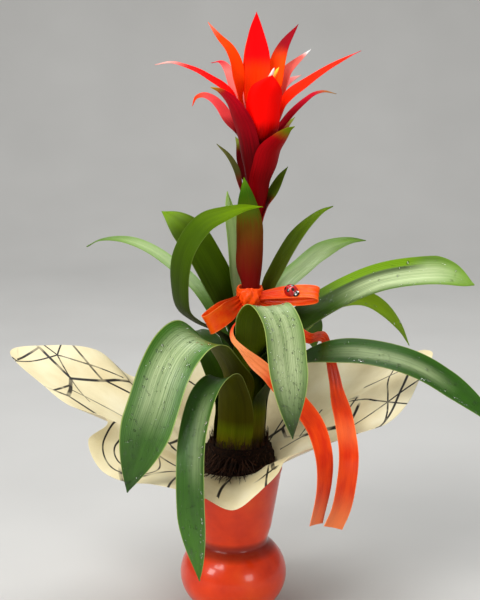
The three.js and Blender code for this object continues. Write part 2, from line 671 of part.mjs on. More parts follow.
function ribbonGeometry() {
  return fuse([
    knotGeometry(),
    ...Object.values(BOW_LOOPS).map(bowLoop),
    ...Object.values(RIBBON_TAILS).map(ribbonTail),
  ]);
}

// Florets: slim buds that stand on the stalk's end between the inner bracts.
const FLORET = { radius: 1.9, foot: [20, 0, 436.5] };
const FLORET_TIPS = [[33, -13, 468], [37, -2, 468], [15, -3, 450], [22, 6, 452]];

function floretsGeometry() {
  const foot = vector(FLORET.foot);
  const buds = FLORET_TIPS.map((tip) => {
    const reach = vector(tip).sub(foot);
    const length = reach.length();
    const r = FLORET.radius;
    const bud = turned([
      [0, -1], [r * 0.6, 0], [r * 0.7, length * 0.4],
      [r, length * 0.72], [r * 0.6, length * 0.93], [0, length],
    ], 7);
    bud.applyQuaternion(new THREE.Quaternion().setFromUnitVectors(UP, reach.normalize()));
    return bud.translate(foot.x, foot.y, foot.z);
  });
  const seat = new THREE.SphereGeometry(2.6, 8, 6).rotateX(Math.PI / 2).scale(1, 1, 0.75);
  return fuse([seat.translate(foot.x, foot.y, foot.z - 0.2), ...buds]);
}

// Ladybird ornament: a domed body with a small round head, seated on the right loop of the bow.
const LADYBIRD = {
  length: 15, width: 11, height: 6, head: [2.9, 3.1, 2.6],
  along: 0.58, rise: 1, heading: [0.75, -0.5, -0.42],
};

function ladybirdGeometry() {
  const { length, width, height } = LADYBIRD;
  const body = new THREE.SphereGeometry(1, 14, 8).rotateX(Math.PI / 2);
  body.scale(length * 0.42, width / 2, height);
  const head = new THREE.SphereGeometry(1, 10, 6).rotateX(Math.PI / 2).scale(...LADYBIRD.head);
  head.translate(length * 0.36, 0, 1.2);
  const below = new THREE.BoxGeometry(2 * length, 2 * length, length).translate(0, 0, -length / 2);
  return fromSolid(solid(body).add(solid(head)).subtract(solid(below)));
}

function piece(name, geometry, color, roughness = 0.6) {
  const mesh = new THREE.Mesh(geometry, new THREE.MeshStandardMaterial({ color, roughness, metalness: 0 }));
  mesh.name = name;
  return mesh;
}

const plant = new THREE.Group();
plant.add(piece("pot", vaseGeometry(), COLOURS.glaze, 0.15));
plant.add(piece("paper_wrap", paperGeometry(), COLOURS.paper));
plant.add(piece("potting_mix", pottingMixGeometry(), COLOURS.soil, 0.95));
plant.add(piece("flower_stalk", stalkGeometry(), COLOURS.stalk));
for (const [name, form] of Object.entries(LEAVES)) plant.add(piece(name, leaf(form), COLOURS.leaf, 0.4));
for (const [name, form] of Object.entries(BRACTS)) {
  const colour = name === "bract_scape_front" ? COLOURS.scapeBract : COLOURS.bract;
  plant.add(piece(name, bract(form), colour, 0.4));
}
plant.add(piece("florets", floretsGeometry(), COLOURS.floret));
plant.add(piece("ribbon", ribbonGeometry(), COLOURS.ribbon, 0.35));

const ladybird = piece("ladybird", ladybirdGeometry(), COLOURS.ladybird, 0.3);
const perch = loopFrame(BOW_LOOPS.right);
const outward = perch.opening.clone().negate();
ladybird.position.copy(perch.start).addScaledVector(perch.reach, LADYBIRD.along);
ladybird.position.addScaledVector(outward, BOW_LOOPS.right.gap / 2 + LADYBIRD.rise);
const heading = vector(LADYBIRD.heading).projectOnPlane(outward).normalize();
const sideways = outward.clone().cross(heading);
ladybird.setRotationFromMatrix(new THREE.Matrix4().makeBasis(heading, sideways, outward));
plant.add(ladybird);

export default plant;
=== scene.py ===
# Looks for a flowering bromeliad in a glazed pot, with its paper wrap, satin ribbon and ladybird ornament.
# Sizes are in millimetres, as in the part's source, and become metres where a mesh is made.
import math
import random

import bpy
import numpy as np
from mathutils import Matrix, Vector


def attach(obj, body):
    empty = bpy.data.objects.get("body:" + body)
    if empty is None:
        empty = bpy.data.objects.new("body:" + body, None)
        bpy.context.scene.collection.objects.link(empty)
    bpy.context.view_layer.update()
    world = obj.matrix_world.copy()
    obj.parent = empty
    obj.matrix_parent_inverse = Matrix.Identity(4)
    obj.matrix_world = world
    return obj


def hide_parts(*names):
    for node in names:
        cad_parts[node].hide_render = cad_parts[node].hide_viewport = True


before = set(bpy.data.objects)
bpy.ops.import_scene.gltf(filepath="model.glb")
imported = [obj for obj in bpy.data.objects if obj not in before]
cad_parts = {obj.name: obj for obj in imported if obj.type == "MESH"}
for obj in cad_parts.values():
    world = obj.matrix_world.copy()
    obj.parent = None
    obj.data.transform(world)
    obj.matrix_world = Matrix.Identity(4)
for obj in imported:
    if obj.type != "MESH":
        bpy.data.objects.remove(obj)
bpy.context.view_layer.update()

MM = 0.001
BODY = "root"

# Pot, seat and stalk, as in the part's source.
FOOT_RADIUS = 31
BULGE = dict(radius=46, height=34, half=38)
WAIST = dict(radius=29, height=63)
CUP = dict(low=78, low_radius=33, rim=131, rim_radius=42, round=1.9)
POT_WALL = 4.5
SEAT = (5, 0)
SEAT_RADIUS = 25.4
MOUND = dict(radius=29.5, top=152)
MIX_LEVEL = 133
STALK_RADIUS = 4
STALK_LEAN = [(140, 5), (150, 5), (205, 9), (281, 14), (365, 20), (440, 20)]
STALK_TOP = 434

# Leaves nest in rings round the stalk, and bracts in cones.
SHEATH = dict(inner=6, pitch=1.2, thickness=0.65, foot=140, wrap=0.42)
RELEASE = dict(highest=253, step=5)
LEAF = dict(thickness=0.9, ripple=0.5, rows=120, columns=18)
BRACT = dict(thickness=0.6, ripple=0.25, rows=70, columns=14, low=336, step=8, seat=4.8)

PAPER_THICKNESS = 0.8
LINER = dict(floor=80, gap=0.5, corner=5, middle=108, lip=CUP["rim"] + 3.5)
RIBBON = dict(width=18, gathered=9, thickness=0.4, cup=60, pleat=0.5, ripple=0.25, columns=20)
KNOT = dict(x=14, z=281, inner=8.6, outer=11, height=14, lump=(7, 3.2, 7.5))


# Curves and grids

def unit(v):
    return v / np.maximum(np.linalg.norm(v, axis=-1, keepdims=True), 1e-12)


def smooth(t, low=0.0, high=1.0):
    t = np.clip((np.asarray(t, float) - low) / (high - low), 0, 1)
    return t * t * (3 - 2 * t)


def lerp(a, b, t):
    return a + (b - a) * t


def full_turn(count):
    return np.linspace(0, 2 * math.pi, count, endpoint=False)


def about(centre, radius, angle, height):
    """Points at a radius and an angle about a vertical line."""
    places = centre[0] + radius * np.cos(angle), centre[1] + radius * np.sin(angle), height
    return np.stack(np.broadcast_arrays(*places), axis=-1)


def arc(height, radii, start, end, count, centre=0):
    """Points of a half section on an upright ellipse, between two angles in degrees."""
    angles = np.radians(np.linspace(start, end, count))
    return [(centre + radii[0] * math.cos(a), height + radii[1] * math.sin(a)) for a in angles]


def eased(pairs, u):
    """Reads [position, value] pairs at u, with eased steps between them."""
    u = np.asarray(u, float)
    at, values = np.array(pairs, float).T
    if len(at) == 1:
        return np.full_like(u, values[0])
    k = np.clip(np.searchsorted(at, u, side="right"), 1, len(at) - 1)
    return lerp(values[k - 1], values[k], smooth((u - at[k - 1]) / (at[k] - at[k - 1])))


def waves(seed, count, *coordinates):
    """Soft seeded waves of mixed directions, between about -1 and 1."""
    draw = random.Random(seed)
    total = 0
    for _ in range(count):
        phase = draw.uniform(0, 2 * math.pi)
        total = total + np.sin(sum(c * draw.uniform(-1, 1) for c in coordinates) + phase)
    return total / math.sqrt(count)


def stalk_x(z):
    heights, places = zip(*STALK_LEAN)
    return np.interp(z, heights, places)


def clear_of(v):
    """An axis that isn't close to the given direction."""
    return np.array([0.0, 0.0, 1.0]) if abs(v[2]) < 0.9 else np.array([1.0, 0.0, 0.0])


def carried(side, tangent):
    """A side direction carried along a line without twisting."""
    found = []
    for t in tangent:
        side = side - t * np.dot(side, t)
        side = side / np.linalg.norm(side)
        found.append(side)
    return np.array(found)


class Track:
    """A smooth line through points, read by its share of length: a centripetal Catmull-Rom curve."""

    SPAN_SAMPLES = 48

    def __init__(self, points, closed=False):
        p = np.array(points, float)
        if closed:
            p = np.vstack([p[-1], p, p[0], p[1]])
        else:
            p = np.vstack([2 * p[0] - p[1], p, 2 * p[-1] - p[-2]])
        s = np.linspace(0, 1, self.SPAN_SAMPLES, endpoint=False)[:, None]
        spans = [self.span(*p[i : i + 4], s) for i in range(len(p) - 3)]
        self.points = np.vstack([*spans, p[-2]])
        steps = np.linalg.norm(np.diff(self.points, axis=0), axis=1)
        self.length = steps.sum()
        self.share = np.concatenate([[0], np.cumsum(steps)]) / self.length

    @staticmethod
    def span(a, b, c, d, s):
        before, between, after = (np.linalg.norm(q - r) ** 0.5 for q, r in ((b, a), (c, b), (d, c)))
        start = ((b - a) / before - (c - a) / (before + between) + (c - b) / between) * between
        end = ((c - b) / between - (d - b) / (between + after) + (d - c) / after) * between
        return b + s * start + s**2 * (3 * (c - b) - 2 * start - end) + s**3 * (2 * (b - c) + start + end)

    def at(self, u):
        return np.stack([np.interp(u, self.share, self.points[:, k]) for k in range(3)], axis=-1)

    def tangent(self, u):
        step = 1e-3
        return unit(self.at(np.minimum(u + step, 1)) - self.at(np.maximum(u - step, 0)))

    def share_near(self, point):
        return self.share[np.argmin(np.linalg.norm(self.points - np.array(point), axis=1))]


class Strip:
    """The middle surface of a blade or ribbon: a grid of points with their face directions."""

    def __init__(self, track, side, width, cup, twist, rows, columns):
        self.u = np.linspace(0, 1, rows + 1)
        self.v = np.linspace(-0.5, 0.5, columns + 1)
        self.length = track.length
        centre, tangent = track.at(self.u), track.tangent(self.u)
        across = carried(np.array(side, float), tangent)
        turn = np.radians(eased(twist, self.u))[:, None]
        across = (across * np.cos(turn) + np.cross(tangent, across) * np.sin(turn))[:, None]
        normal = np.cross(tangent[:, None], across)
        self.width = width(self.u)
        bend = 1 / cup(self.u, centre)[:, None, None]
        angle = (self.v * self.width[:, None])[..., None] * bend
        aside, up = np.sin(angle) / bend, (1 - np.cos(angle)) / bend
        self.points = centre[:, None] + across * aside + normal * up
        self.face = normal * np.cos(angle) - across * np.sin(angle)

    def grid(self):
        """How far along in millimetres, and which share of the width, each point lies."""
        return np.meshgrid(self.u * self.length, self.v, indexing="ij")

    def push(self, amount):
        """Moves the surface along its own face direction, by an amount for each grid point."""
        self.points = self.points + self.face * amount[..., None]

    def spot(self, u, v):
        """The point and face direction at a share of the length and of the width."""
        rows, columns = len(self.u) - 1, len(self.v) - 1
        i, j = min(int(u * rows), rows - 1), min(int((v + 0.5) * columns), columns - 1)

        def read(grid):
            low, high = (lerp(grid[k, j], grid[k, j + 1], (v + 0.5) * columns - j) for k in (i, i + 1))
            return lerp(low, high, u * rows - i)

        return read(self.points), unit(read(self.face))


class Blade(Strip):
    """A leaf or bract: it hugs the stalk along its nest, lets go, and runs out along its path to a point."""

    def __init__(self, form, nest, opens, seat, widths, grid):
        angle = math.radians(form["azimuth"])
        nest = [about((stalk_x(z), 0), radius, angle, z) for radius, z in nest]
        track = Track([*nest, *form["path"]])
        self.free = free = track.share_near(nest[-1])
        self.open_at = open_at = min(0.9, free + opens)

        def width(u):
            past = np.maximum(0, (u - form["taper"]) / (1 - form["taper"]))
            return eased(widths(free, open_at), u) * np.maximum(0.02, 1 - past ** form["point"])

        def cup(u, centre):
            away = np.hypot(centre[:, 0] - stalk_x(centre[:, 2]), centre[:, 1])
            return 1 / lerp(1 / np.maximum(seat, away), 1 / form["cup"], smooth(u, free, open_at))

        side = (-math.sin(angle), math.cos(angle), 0)
        super().__init__(track, side, width, cup, form["twist"], grid["rows"], grid["columns"])
        self.margin = 2 * np.abs(self.v)


# Meshes

def quads(rows, columns, offset=0, flip=False, closed=True):
    """Faces of a grid of (rows + 1) by (columns + 1) points, or by columns points where it closes round."""
    across = columns if closed else columns + 1
    i, j = np.meshgrid(np.arange(rows), np.arange(columns), indexing="ij")
    k = (j + 1) % across
    faces = np.stack([i * across + j, (i + 1) * across + j, (i + 1) * across + k, i * across + k], axis=-1)
    faces = faces.reshape(-1, 4) + offset
    return faces[:, ::-1] if flip else faces


def fan(tip, start, count, flip=False):
    """Triangles from a tip to a closed ring of points."""
    ring = start + np.arange(count)
    onward = np.roll(ring, -1)
    return np.stack([np.full(count, tip), *((onward, ring) if flip else (ring, onward))], axis=-1)


def walls(rim, below):
    """Faces from a closed line of points down to the same line of a lower layer."""
    onward = np.roll(rim, -1)
    return np.stack([rim, rim + below, onward + below, onward], axis=-1)


def make_object(name, shape, materials, uv=None, material_of=None, sharp=35):
    """An object from points and faces, with an edge where they turn by more than the sharp angle."""
    points, faces = shape
    mesh = bpy.data.meshes.new(name)
    mesh.from_pydata((np.asarray(points, float) * MM).tolist(), [], [list(map(int, f)) for f in faces])
    for material in materials:
        mesh.materials.append(material)
    if material_of is not None:
        mesh.polygons.foreach_set("material_index", np.asarray(material_of, np.int32))
    if uv is not None:
        layer = mesh.uv_layers.new(name="blade")
        corner = np.zeros(len(mesh.loops), np.int32)
        mesh.loops.foreach_get("vertex_index", corner)
        layer.data.foreach_set("uv", np.asarray(uv, np.float32)[corner].ravel())
    mesh.polygons.foreach_set("use_smooth", np.ones(len(mesh.polygons), bool))
    mesh.set_sharp_from_angle(angle=math.radians(sharp))
    mesh.validate()
    made = bpy.data.objects.new(name, mesh)
    bpy.context.scene.collection.objects.link(made)
    return made


def dress(piece, slot, *nodes):
    """The piece rides with the plant and stands for the nodes, which it hides; the slot is not used."""
    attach(piece, BODY)
    if nodes:
        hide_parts(*nodes)


def add(name, shape, finish, slot, *nodes, uv=None, sharp=35):
    """A piece of one finish."""
    dress(make_object(name, shape, [finish], uv, sharp=sharp), slot, *nodes)


def sheet_object(name, strip, thickness, materials, sharp=35):
    """A closed thin solid about a strip: its face, its back and the walls round its margin."""
    rows, columns = len(strip.u) - 1, len(strip.v) - 1
    half = strip.face * np.broadcast_to(thickness, strip.points.shape[:2])[..., None] / 2
    points = np.concatenate([(strip.points + half).reshape(-1, 3), (strip.points - half).reshape(-1, 3)])
    index = np.arange((rows + 1) * (columns + 1)).reshape(rows + 1, columns + 1)
    rim = np.concatenate([index[:, 0], index[-1, 1:], index[-2::-1, -1], index[0, -2:0:-1]])
    upper, lower = quads(rows, columns, 0, True, False), quads(rows, columns, index.size, False, False)
    faces = np.concatenate([upper, lower, walls(rim, index.size)])
    u, v = np.meshgrid(strip.u, strip.v + 0.5, indexing="ij")
    uv = np.tile(np.stack([u, v], axis=-1).reshape(-1, 2), (2, 1))
    material_of = [0] * len(upper) + [len(materials) - 1] * len(lower) + [0] * len(rim)
    return make_object(name, (points, faces), materials, uv, material_of, sharp)


def turned(outline, segments, wobble=None, centre=(0, 0)):
    """A shape turned about the vertical from (radius, height) points that start and end on the axis."""
    outline = np.array(outline, float)
    angle = full_turn(segments)
    radius, height = (outline[1:-1, k, None] * np.ones_like(angle) for k in (0, 1))
    if wobble:
        radius, height = wobble(radius, height, angle)
    points = about(centre, radius, angle, height).reshape(-1, 3)
    ends = [(*centre, outline[0, 1]), (*centre, outline[-1, 1])]
    rows, count = len(outline) - 3, len(points)
    caps = [*fan(count, 0, segments, True), *fan(count + 1, rows * segments, segments)]
    return np.vstack([points, ends]), [*quads(rows, segments, 0, True), *caps]


def tube(points, radii, sides):
    """A closed tube along a few points, with a radius at each."""
    points = np.array(points, float)
    tangent = unit(np.gradient(points, axis=0))
    a = carried(clear_of(tangent[0]), tangent)[:, None]
    b = np.cross(tangent[:, None], a)
    angle = full_turn(sides)[:, None]
    out = a * np.cos(angle) + b * np.sin(angle)
    rings = points[:, None] + out * np.array(radii, float)[:, None, None]
    last = (len(points) - 1) * sides
    ends = range(sides), range(last, last + sides)[::-1]
    return rings.reshape(-1, 3), [*quads(len(points) - 1, sides, 0, True), *ends]


def dome(radii, rings, sides, cut=0.0, sunk=0.0):
    """Half an ellipsoid that stands on its flat side, with a groove along its back if cut."""
    rise, angle = np.meshgrid(np.arange(rings) / rings * math.pi / 2, full_turn(sides), indexing="ij")
    x, y, z = np.cos(rise) * np.cos(angle), np.cos(rise) * np.sin(angle), np.sin(rise)
    dip = cut * np.exp(-((y / 0.07) ** 2)) * z + sunk
    points = np.stack([x * radii[0], y * radii[1], z * radii[2] - dip], axis=-1).reshape(-1, 3)
    top = fan(len(points), (rings - 1) * sides, sides)
    faces = [*quads(rings - 1, sides, 0, True), *top, range(sides)[::-1]]
    return np.vstack([points, (0, 0, radii[2] - cut)]), faces


def posed(shape, axes, place):
    """A shape turned so that its x, y and z run along three directions, and moved to a place."""
    points, faces = shape
    return points @ np.array(axes) + place, faces


def joined(parts):
    """One shape from several."""
    points, faces, start = [], [], 0
    for part_points, part_faces in parts:
        points.append(part_points)
        faces += [tuple(int(k) + start for k in face) for face in part_faces]
        start += len(part_points)
    return np.vstack(points), faces


# Materials

def rgb(code):
    """A linear colour from a six-figure screen colour."""
    parts = [int(code[k : k + 2], 16) / 255 for k in (0, 2, 4)]
    return (*[c / 12.92 if c <= 0.04045 else ((c + 0.055) / 1.055) ** 2.4 for c in parts], 1.0)


def lerp_code(a, b, share):
    """A screen colour between two others."""
    parts = [(int(a[k : k + 2], 16), int(b[k : k + 2], 16)) for k in (0, 2, 4)]
    return "".join(f"{round(lerp(x, y, share)):02x}" for x, y in parts)


class Value:
    """An output of a node that can be reckoned with: each step adds a node to the finish."""

    def __init__(self, finish, socket):
        self.finish, self.socket = finish, socket

    def beside(self, output):
        """Another output of the same node."""
        return Value(self.finish, self.socket.node.outputs[output])

    def step(self, operation, other=0.0):
        return self.finish.node("Math", {0: self, 1: other}, operation=operation)

    def __add__(self, other):
        return self.step("ADD", other)

    def __sub__(self, other):
        return self.step("SUBTRACT", other)

    def __mul__(self, other):
        return self.step("MULTIPLY", other)

    def __abs__(self):
        return self.step("ABSOLUTE")

    def over(self, low, high):
        """How far the value is on its way from low to high."""
        return self.finish.node("MapRange", {"Value": self, "From Min": low, "From Max": high})

    def ramp(self, *stops, soft=False):
        """The value read through (position, grey or colour code) stops."""
        made = self.finish.node("ValToRGB", {"Fac": self})
        band = made.socket.node.color_ramp
        band.interpolation = "EASE" if soft else "LINEAR"
        while len(band.elements) < len(stops):
            band.elements.new(0.5)
        for element, (position, tone) in zip(band.elements, stops):
            element.position = position
            element.color = rgb(tone) if isinstance(tone, str) else (tone, tone, tone, 1)
        return made

    def mixed(self, share, other, blend="MIX"):
        return self.finish.node("Mix", {0: share, 6: self, 7: other}, 2, data_type="RGBA", blend_type=blend)

    def toned(self, share, value, *stops):
        """The colour made softly lighter and darker by a value."""
        return self.mixed(share, value.ramp(*stops), "SOFT_LIGHT")


class Finish:
    """A material's node tree, built by short calls. A colour code stands for its colour."""

    def __init__(self, name, roughness=0.5, specular=0.5, **more):
        self.material = bpy.data.materials.new(name)
        self.material.use_nodes = True
        self.tree = self.material.node_tree
        self.set("Roughness", roughness)
        self.set("Specular IOR Level", specular)
        for key, value in more.items():
            self.set(key.replace("_", " "), value)

    def set(self, name, value):
        self.put(self.tree.nodes["Principled BSDF"].inputs[name], value)

    def put(self, socket, value):
        if isinstance(value, Value):
            self.tree.links.new(value.socket, socket)
        else:
            socket.default_value = rgb(value) if isinstance(value, str) else value

    def node(self, kind, inputs, output=0, **settings):
        """Adds a node with its settings and inputs, and returns one of its outputs."""
        made = self.tree.nodes.new("ShaderNode" + kind)
        for key, value in settings.items():
            setattr(made, key, value)
        for key, value in inputs.items():
            self.put(made.inputs[key], value)
        return Value(self, made.outputs[output])

    def flat(self):
        """The blade's own coordinates, or the paper's in metres on the flat sheet."""
        return self.node("UVMap", {}, uv_map="blade")

    def along_across(self):
        """The share of the blade's length, and of its width from 0 to 1."""
        along = self.node("SeparateXYZ", {"Vector": self.flat()})
        return along, along.beside(1)

    def place(self):
        """The surface's place in the part's own frame, in metres."""
        return self.node("TexCoord", {}, "Object")

    def height(self):
        return self.node("SeparateXYZ", {"Vector": self.place()}, 2)

    def noise(self, vector, scale, detail=3.0, roughness=0.5):
        inputs = {"Vector": vector, "Scale": scale, "Detail": detail, "Roughness": roughness}
        return self.node("TexNoise", inputs)

    def streaks(self, along, across, seed=0.0, detail=3.0, roughness=0.5):
        """Noise with its own scale along and across a blade."""
        place = self.node("CombineXYZ", {"X": along, "Y": across, "Z": seed})
        return self.noise(place, 1.0, detail, roughness)

    def done(self, colour, relief, depth_mm, strength=1.0):
        """Sets the colour and the low relief, and gives the material."""
        self.set("Base Color", colour)
        inputs = {"Height": relief, "Distance": depth_mm * MM, "Strength": strength}
        self.set("Normal", self.node("Bump", inputs))
        return self.material


def leaf_finish(name, look, face, free, gloss, shine, seed):
    """One face of a waxy strap leaf, which lets go of the stalk at the share free of its length.

    look["sheen"] is a silvery painted reflection of the light on its wax: (from, to, centre across, half
    width, strength).
    look["strip"] is a painted band of light through one margin, with painted shade in the crease beside it:
    (colour, share across where it starts).
    """
    f = Finish(name)
    along, across = f.along_across()
    body = along.ramp(*tone_stops(free, look[face], look["tip_from"]))
    lines = f.streaks(along * 2.5, across * 34.0, seed, 4.0, 0.6)
    broad = f.streaks(along * 4.0, across * 3.0, seed + 7, 2.0)
    body = body.toned(0.4, lines, (0.3, "263c04"), (0.7, "a4b040"))
    body = body.toned(0.45, broad, (0.35, "2c4208"), (0.65, "90a03c"))
    # A painted reflection: a silvery colour mixed in where the waxy face would mirror the light.
    if face == "upper" and "painted_sheen" in look:
        low, high, centre, half, strength = look["painted_sheen"]
        reach = (high - low) / 3
        reflection_share = along.ramp((low, 0.0), (low + reach, 1.0), (high - reach, 1.0), (high, 0.0), soft=True)
        reflection_share *= abs(across - centre).ramp((half * 0.25, 1.0), (half, 0.0), soft=True)
        reflection_share *= lines.ramp((0.3, 0.4), (0.62, 1.0))
        reflection_share *= broad.ramp((0.3, 0.6), (0.6, 1.0)) * strength
        body = body.mixed(reflection_share, "c2d09e")
    if face == "upper" and "strip" in look:
        colour, start = look["strip"]
        reach = along.ramp(*STRIP_REACH)
        # Painted shade in the crease along the margin, then the margin's painted light.
        crease_shade = across.ramp((start - 0.16, 0.0), (start, 0.75), (start + 0.04, 0.0), soft=True)
        body = body.mixed(crease_shade * reach, "1c3004")
        body = body.mixed(across.ramp((start, 0.0), (start + 0.04, 1.0)) * reach, colour)
    rim = abs(across * 2.0 - 1.0).ramp((0.95, 0.0), (0.985, look["rim"]))
    body = body.mixed(rim * along.ramp((free, 0.0), (free + 0.2, 1.0)), "b4c468")
    husk = f.streaks(along * 3.0, across * 10.0, seed + 3).ramp((0.5, 0.0), (0.72, 0.4))
    husk *= along.ramp((free * 0.2, 0.0), (free * 0.6, 1.0), (free, 0.0))
    f.set("Specular IOR Level", along.ramp((free * 0.8, 0.03), (free + 0.15, shine)))
    f.set("Roughness", lines * 0.3 + (gloss - 0.12))
    veins = (across * (2 * math.pi * VEINS)).step("SINE")
    return f.done(body.mixed(husk, "7a7420"), veins * 0.3 + lines, 0.16)


def tone_stops(free, tones, tip_from):
    """The sheath's tones to where the leaf lets go, and the blade's from there to the tip."""
    sheath = [(at * free * 0.9, code) for at, code in SHEATH_TONES]
    places = [free, lerp(free, 1, 0.3), lerp(free, 1, tip_from), 1.0]
    return [*sheath, *zip(places, tones.split())]


def bract_finish(name, tones, tip_from, rise, seed):
    """A waxy bract: dark red low in the head, brighter over the rise in metres, with its own tip colour."""
    foot, body, tip = tones.split()
    f = Finish(name, specular=0.04)
    along, across = f.along_across()
    share = f.height().over(*rise)
    lines = f.streaks(along * 3.0, across * 26.0, seed, 4.0, 0.55)
    moved = share + (lines - 0.5) * 0.25
    colour = moved.ramp((0.05, foot), (0.5, lerp_code(foot, body, 0.45)), (0.95, body), soft=True)
    ended = along + (lines - 0.5) * 0.08
    colour = colour.mixed(ended.ramp((tip_from, 0.0), (min(0.99, tip_from + 0.15), 1.0), soft=True), tip)
    f.set("Roughness", lines * 0.3 + 0.3)
    return f.done(colour.toned(0.3, lines, (0.3, "701010"), (0.7, "ff9070")), lines, 0.14)


def scape_finish():
    """The bract below the head: dark red low down, brown in the middle and green at the tip."""
    f = Finish("scape_bract", 0.42, 0.06)
    along, across = f.along_across()
    fine = f.streaks(along * 4.0, across * 24.0, 0.0, 4.0, 0.55)
    return f.done((along + (fine - 0.5) * 0.22).ramp(*SCAPE_TONES), fine, 0.12)


def glaze_finish():
    f = Finish("glaze", 0.3, 0.25, Coat_Weight=0.35, Coat_Roughness=0.06)
    place = f.place()
    colour = f.noise(place, 30.0, 4.0, 0.55).ramp((0.3, "cc2c02"), (0.55, "e43c06"), (0.8, "f0500c"))
    # Painted shadow: a dark band round the waist, where the cup shades the bulge below it.
    from_waist_shadow = abs(f.height() - WAIST["height"] * MM)
    colour = colour.mixed(from_waist_shadow.ramp((0.002, 0.85), (0.008, 0.0), soft=True), "6a1002")
    speck = f.noise(place, 700.0, 2.0).ramp((0.72, 0.0), (0.8, 0.4))
    return f.done(colour.mixed(speck, "8e1806"), f.noise(place, 55.0), 0.4, 0.4)


# Rings of lines printed on the paper: their centre in metres on the flat sheet, how far apart they lie,
# the half width of a line as a share of that, and either the cells or the reach in which they show.
PRINT_RINGS = [
    dict(centre=(-0.070, -0.420), pitch=0.0440, line=0.019, cells=(0.0, 0.25)),
    dict(centre=(0.330, -0.150), pitch=0.0460, line=0.019, cells=(0.25, 0.5)),
    dict(centre=(0.060, 0.500), pitch=0.0380, line=0.022, cells=(0.5, 0.75)),
    dict(centre=(-0.104, -0.064), pitch=0.0105, line=0.055, reach=(0.011, 0.031)),
]
# Spokes that run out from a point: its place, their number and how far they reach.
PRINT_SPOKES = [
    dict(centre=(0.165, -0.012), count=6, turn=0.35, reach=0.048),
    dict(centre=(-0.199, 0.030), count=5, turn=0.2, reach=0.065),
    dict(centre=(0.030, 0.180), count=6, turn=0.6, reach=0.055),
]
PRINT_LINE = 0.0008
PRINT_CELLS = 13.0


def shifted(f, flat, scale, reach, seed):
    """Flat coordinates pushed about by a soft noise, so that lines drawn with them wander."""
    inputs = {"Vector": flat, "W": seed, "Scale": scale, "Detail": 1.0}
    noise = f.node("TexNoise", inputs, 1, noise_dimensions="4D")
    centred = f.node("VectorMath", {0: noise, 1: (0.5, 0.5, 0.5)}, operation="SUBTRACT")
    scaled = f.node("VectorMath", {0: centred, "Scale": reach}, operation="SCALE")
    return f.node("VectorMath", {0: flat, 1: scaled}, operation="ADD")


def away_from(f, flat, centre):
    """Distance and angle of the flat coordinates from a point."""
    moved = f.node("VectorMath", {0: flat, 1: (*centre, 0)}, operation="SUBTRACT")
    x = f.node("SeparateXYZ", {"Vector": moved})
    y = x.beside(1)
    return (x * x + y * y).step("SQRT"), y.step("ARCTAN2", x)


def printed_lines(f, flat):
    """Long dark strokes: each cell of the sheet has its own arcs, and some cells share a border line."""
    cell = {"Vector": shifted(f, flat, 9.0, 0.025, 1.0), "Scale": PRINT_CELLS}
    colour = f.node("TexVoronoi", cell, "Color", feature="F1")
    choice = f.node("SeparateColor", {"Color": colour})
    border = f.node("TexVoronoi", cell, "Distance", feature="DISTANCE_TO_EDGE")
    kept = f.noise(flat, 14.0, 1.0).ramp((0.46, 0.0), (0.50, 1.0))
    ink = border.ramp((0.016, 1.0), (0.024, 0.0)) * kept
    wander = shifted(f, flat, 12.0, 0.012, 5.0)
    for rings in PRINT_RINGS:
        away, _ = away_from(f, wander, rings["centre"])
        apart = abs(away.step("DIVIDE", rings["pitch"]).step("FRACT") - 0.5)
        stroke = apart.ramp((rings["line"], 1.0), (rings["line"] * 1.6, 0.0))
        value, (low, high) = (choice, rings["cells"]) if "cells" in rings else (away, rings["reach"])
        inside = value.step("GREATER_THAN", low) * value.step("LESS_THAN", high)
        ink = ink.step("MAXIMUM", stroke * inside)
    for star in PRINT_SPOKES:
        away, angle = away_from(f, wander, star["centre"])
        turns = angle * (star["count"] / (2 * math.pi)) + star["turn"]
        apart = abs(turns.step("FRACT") - 0.5)
        width = apart * (2 * math.pi / star["count"]) * away
        inside = away.step("LESS_THAN", star["reach"])
        ink = ink.step("MAXIMUM", width.step("LESS_THAN", PRINT_LINE) * inside)
    return ink * f.noise(flat, 60.0, 2.0).ramp((0.36, 0.6), (0.5, 1.0))


def paper_finish():
    """Cream wrapping paper with a free pattern of dark lines, in the sheet's own flat coordinates."""
    f = Finish("wrap_paper", 0.42, 0.4)
    flat = f.flat()
    cream = f.noise(flat, 18.0, 4.0, 0.55).ramp((0.3, "d9c898"), (0.55, "ecdfb6"), (0.8, "f6eed0"))
    grain = f.noise(flat, 900.0, 2.0)
    cream = cream.toned(0.12, grain, (0.3, 0.2), (0.7, 0.8))
    return f.done(cream.mixed(printed_lines(f, flat), "16100b"), grain * 0.15 + f.noise(flat, 55.0), 0.3)


def satin_finish(name="satin", dark="f05208", light="ff7818", painted_light=None, shade=None):
    """Orange satin between two tones; the stops in pale and shade are painted light and painted shade along
    it.
    """
    f = Finish(name, 0.36, 0.2, Sheen_Weight=0.12, Sheen_Roughness=0.35, Sheen_Tint="ffb070")
    along, across = f.along_across()
    threads = f.streaks(along * 3.0, across * 60.0, 0.0, 3.0, 0.6)
    folds = f.streaks(along * 10.0, across * 2.5, 0.0, 2.0)
    colour = threads.ramp((0.3, dark), (0.7, light))
    # Painted light and shade: lighter and darker tones along the satin's folds.
    colour = colour.toned(0.7, folds, (0.35, "b02c00"), (0.65, "ffae54"))
    edge = abs(across * 2.0 - 1.0)
    colour = colour.mixed(edge.ramp((0.9, 0.0), (0.95, 0.5)), "ff8440")
    # Painted light where light shows through the thin satin, and painted shade near the knot.
    for stops, tone in ((painted_light, "ffa260"), (shade, "b41c00")):
        if stops:
            colour = colour.mixed(along.ramp(*stops, soft=True), tone)
    f.set("Roughness", threads * 0.25 + 0.24)
    return f.done(colour, threads, 0.15)


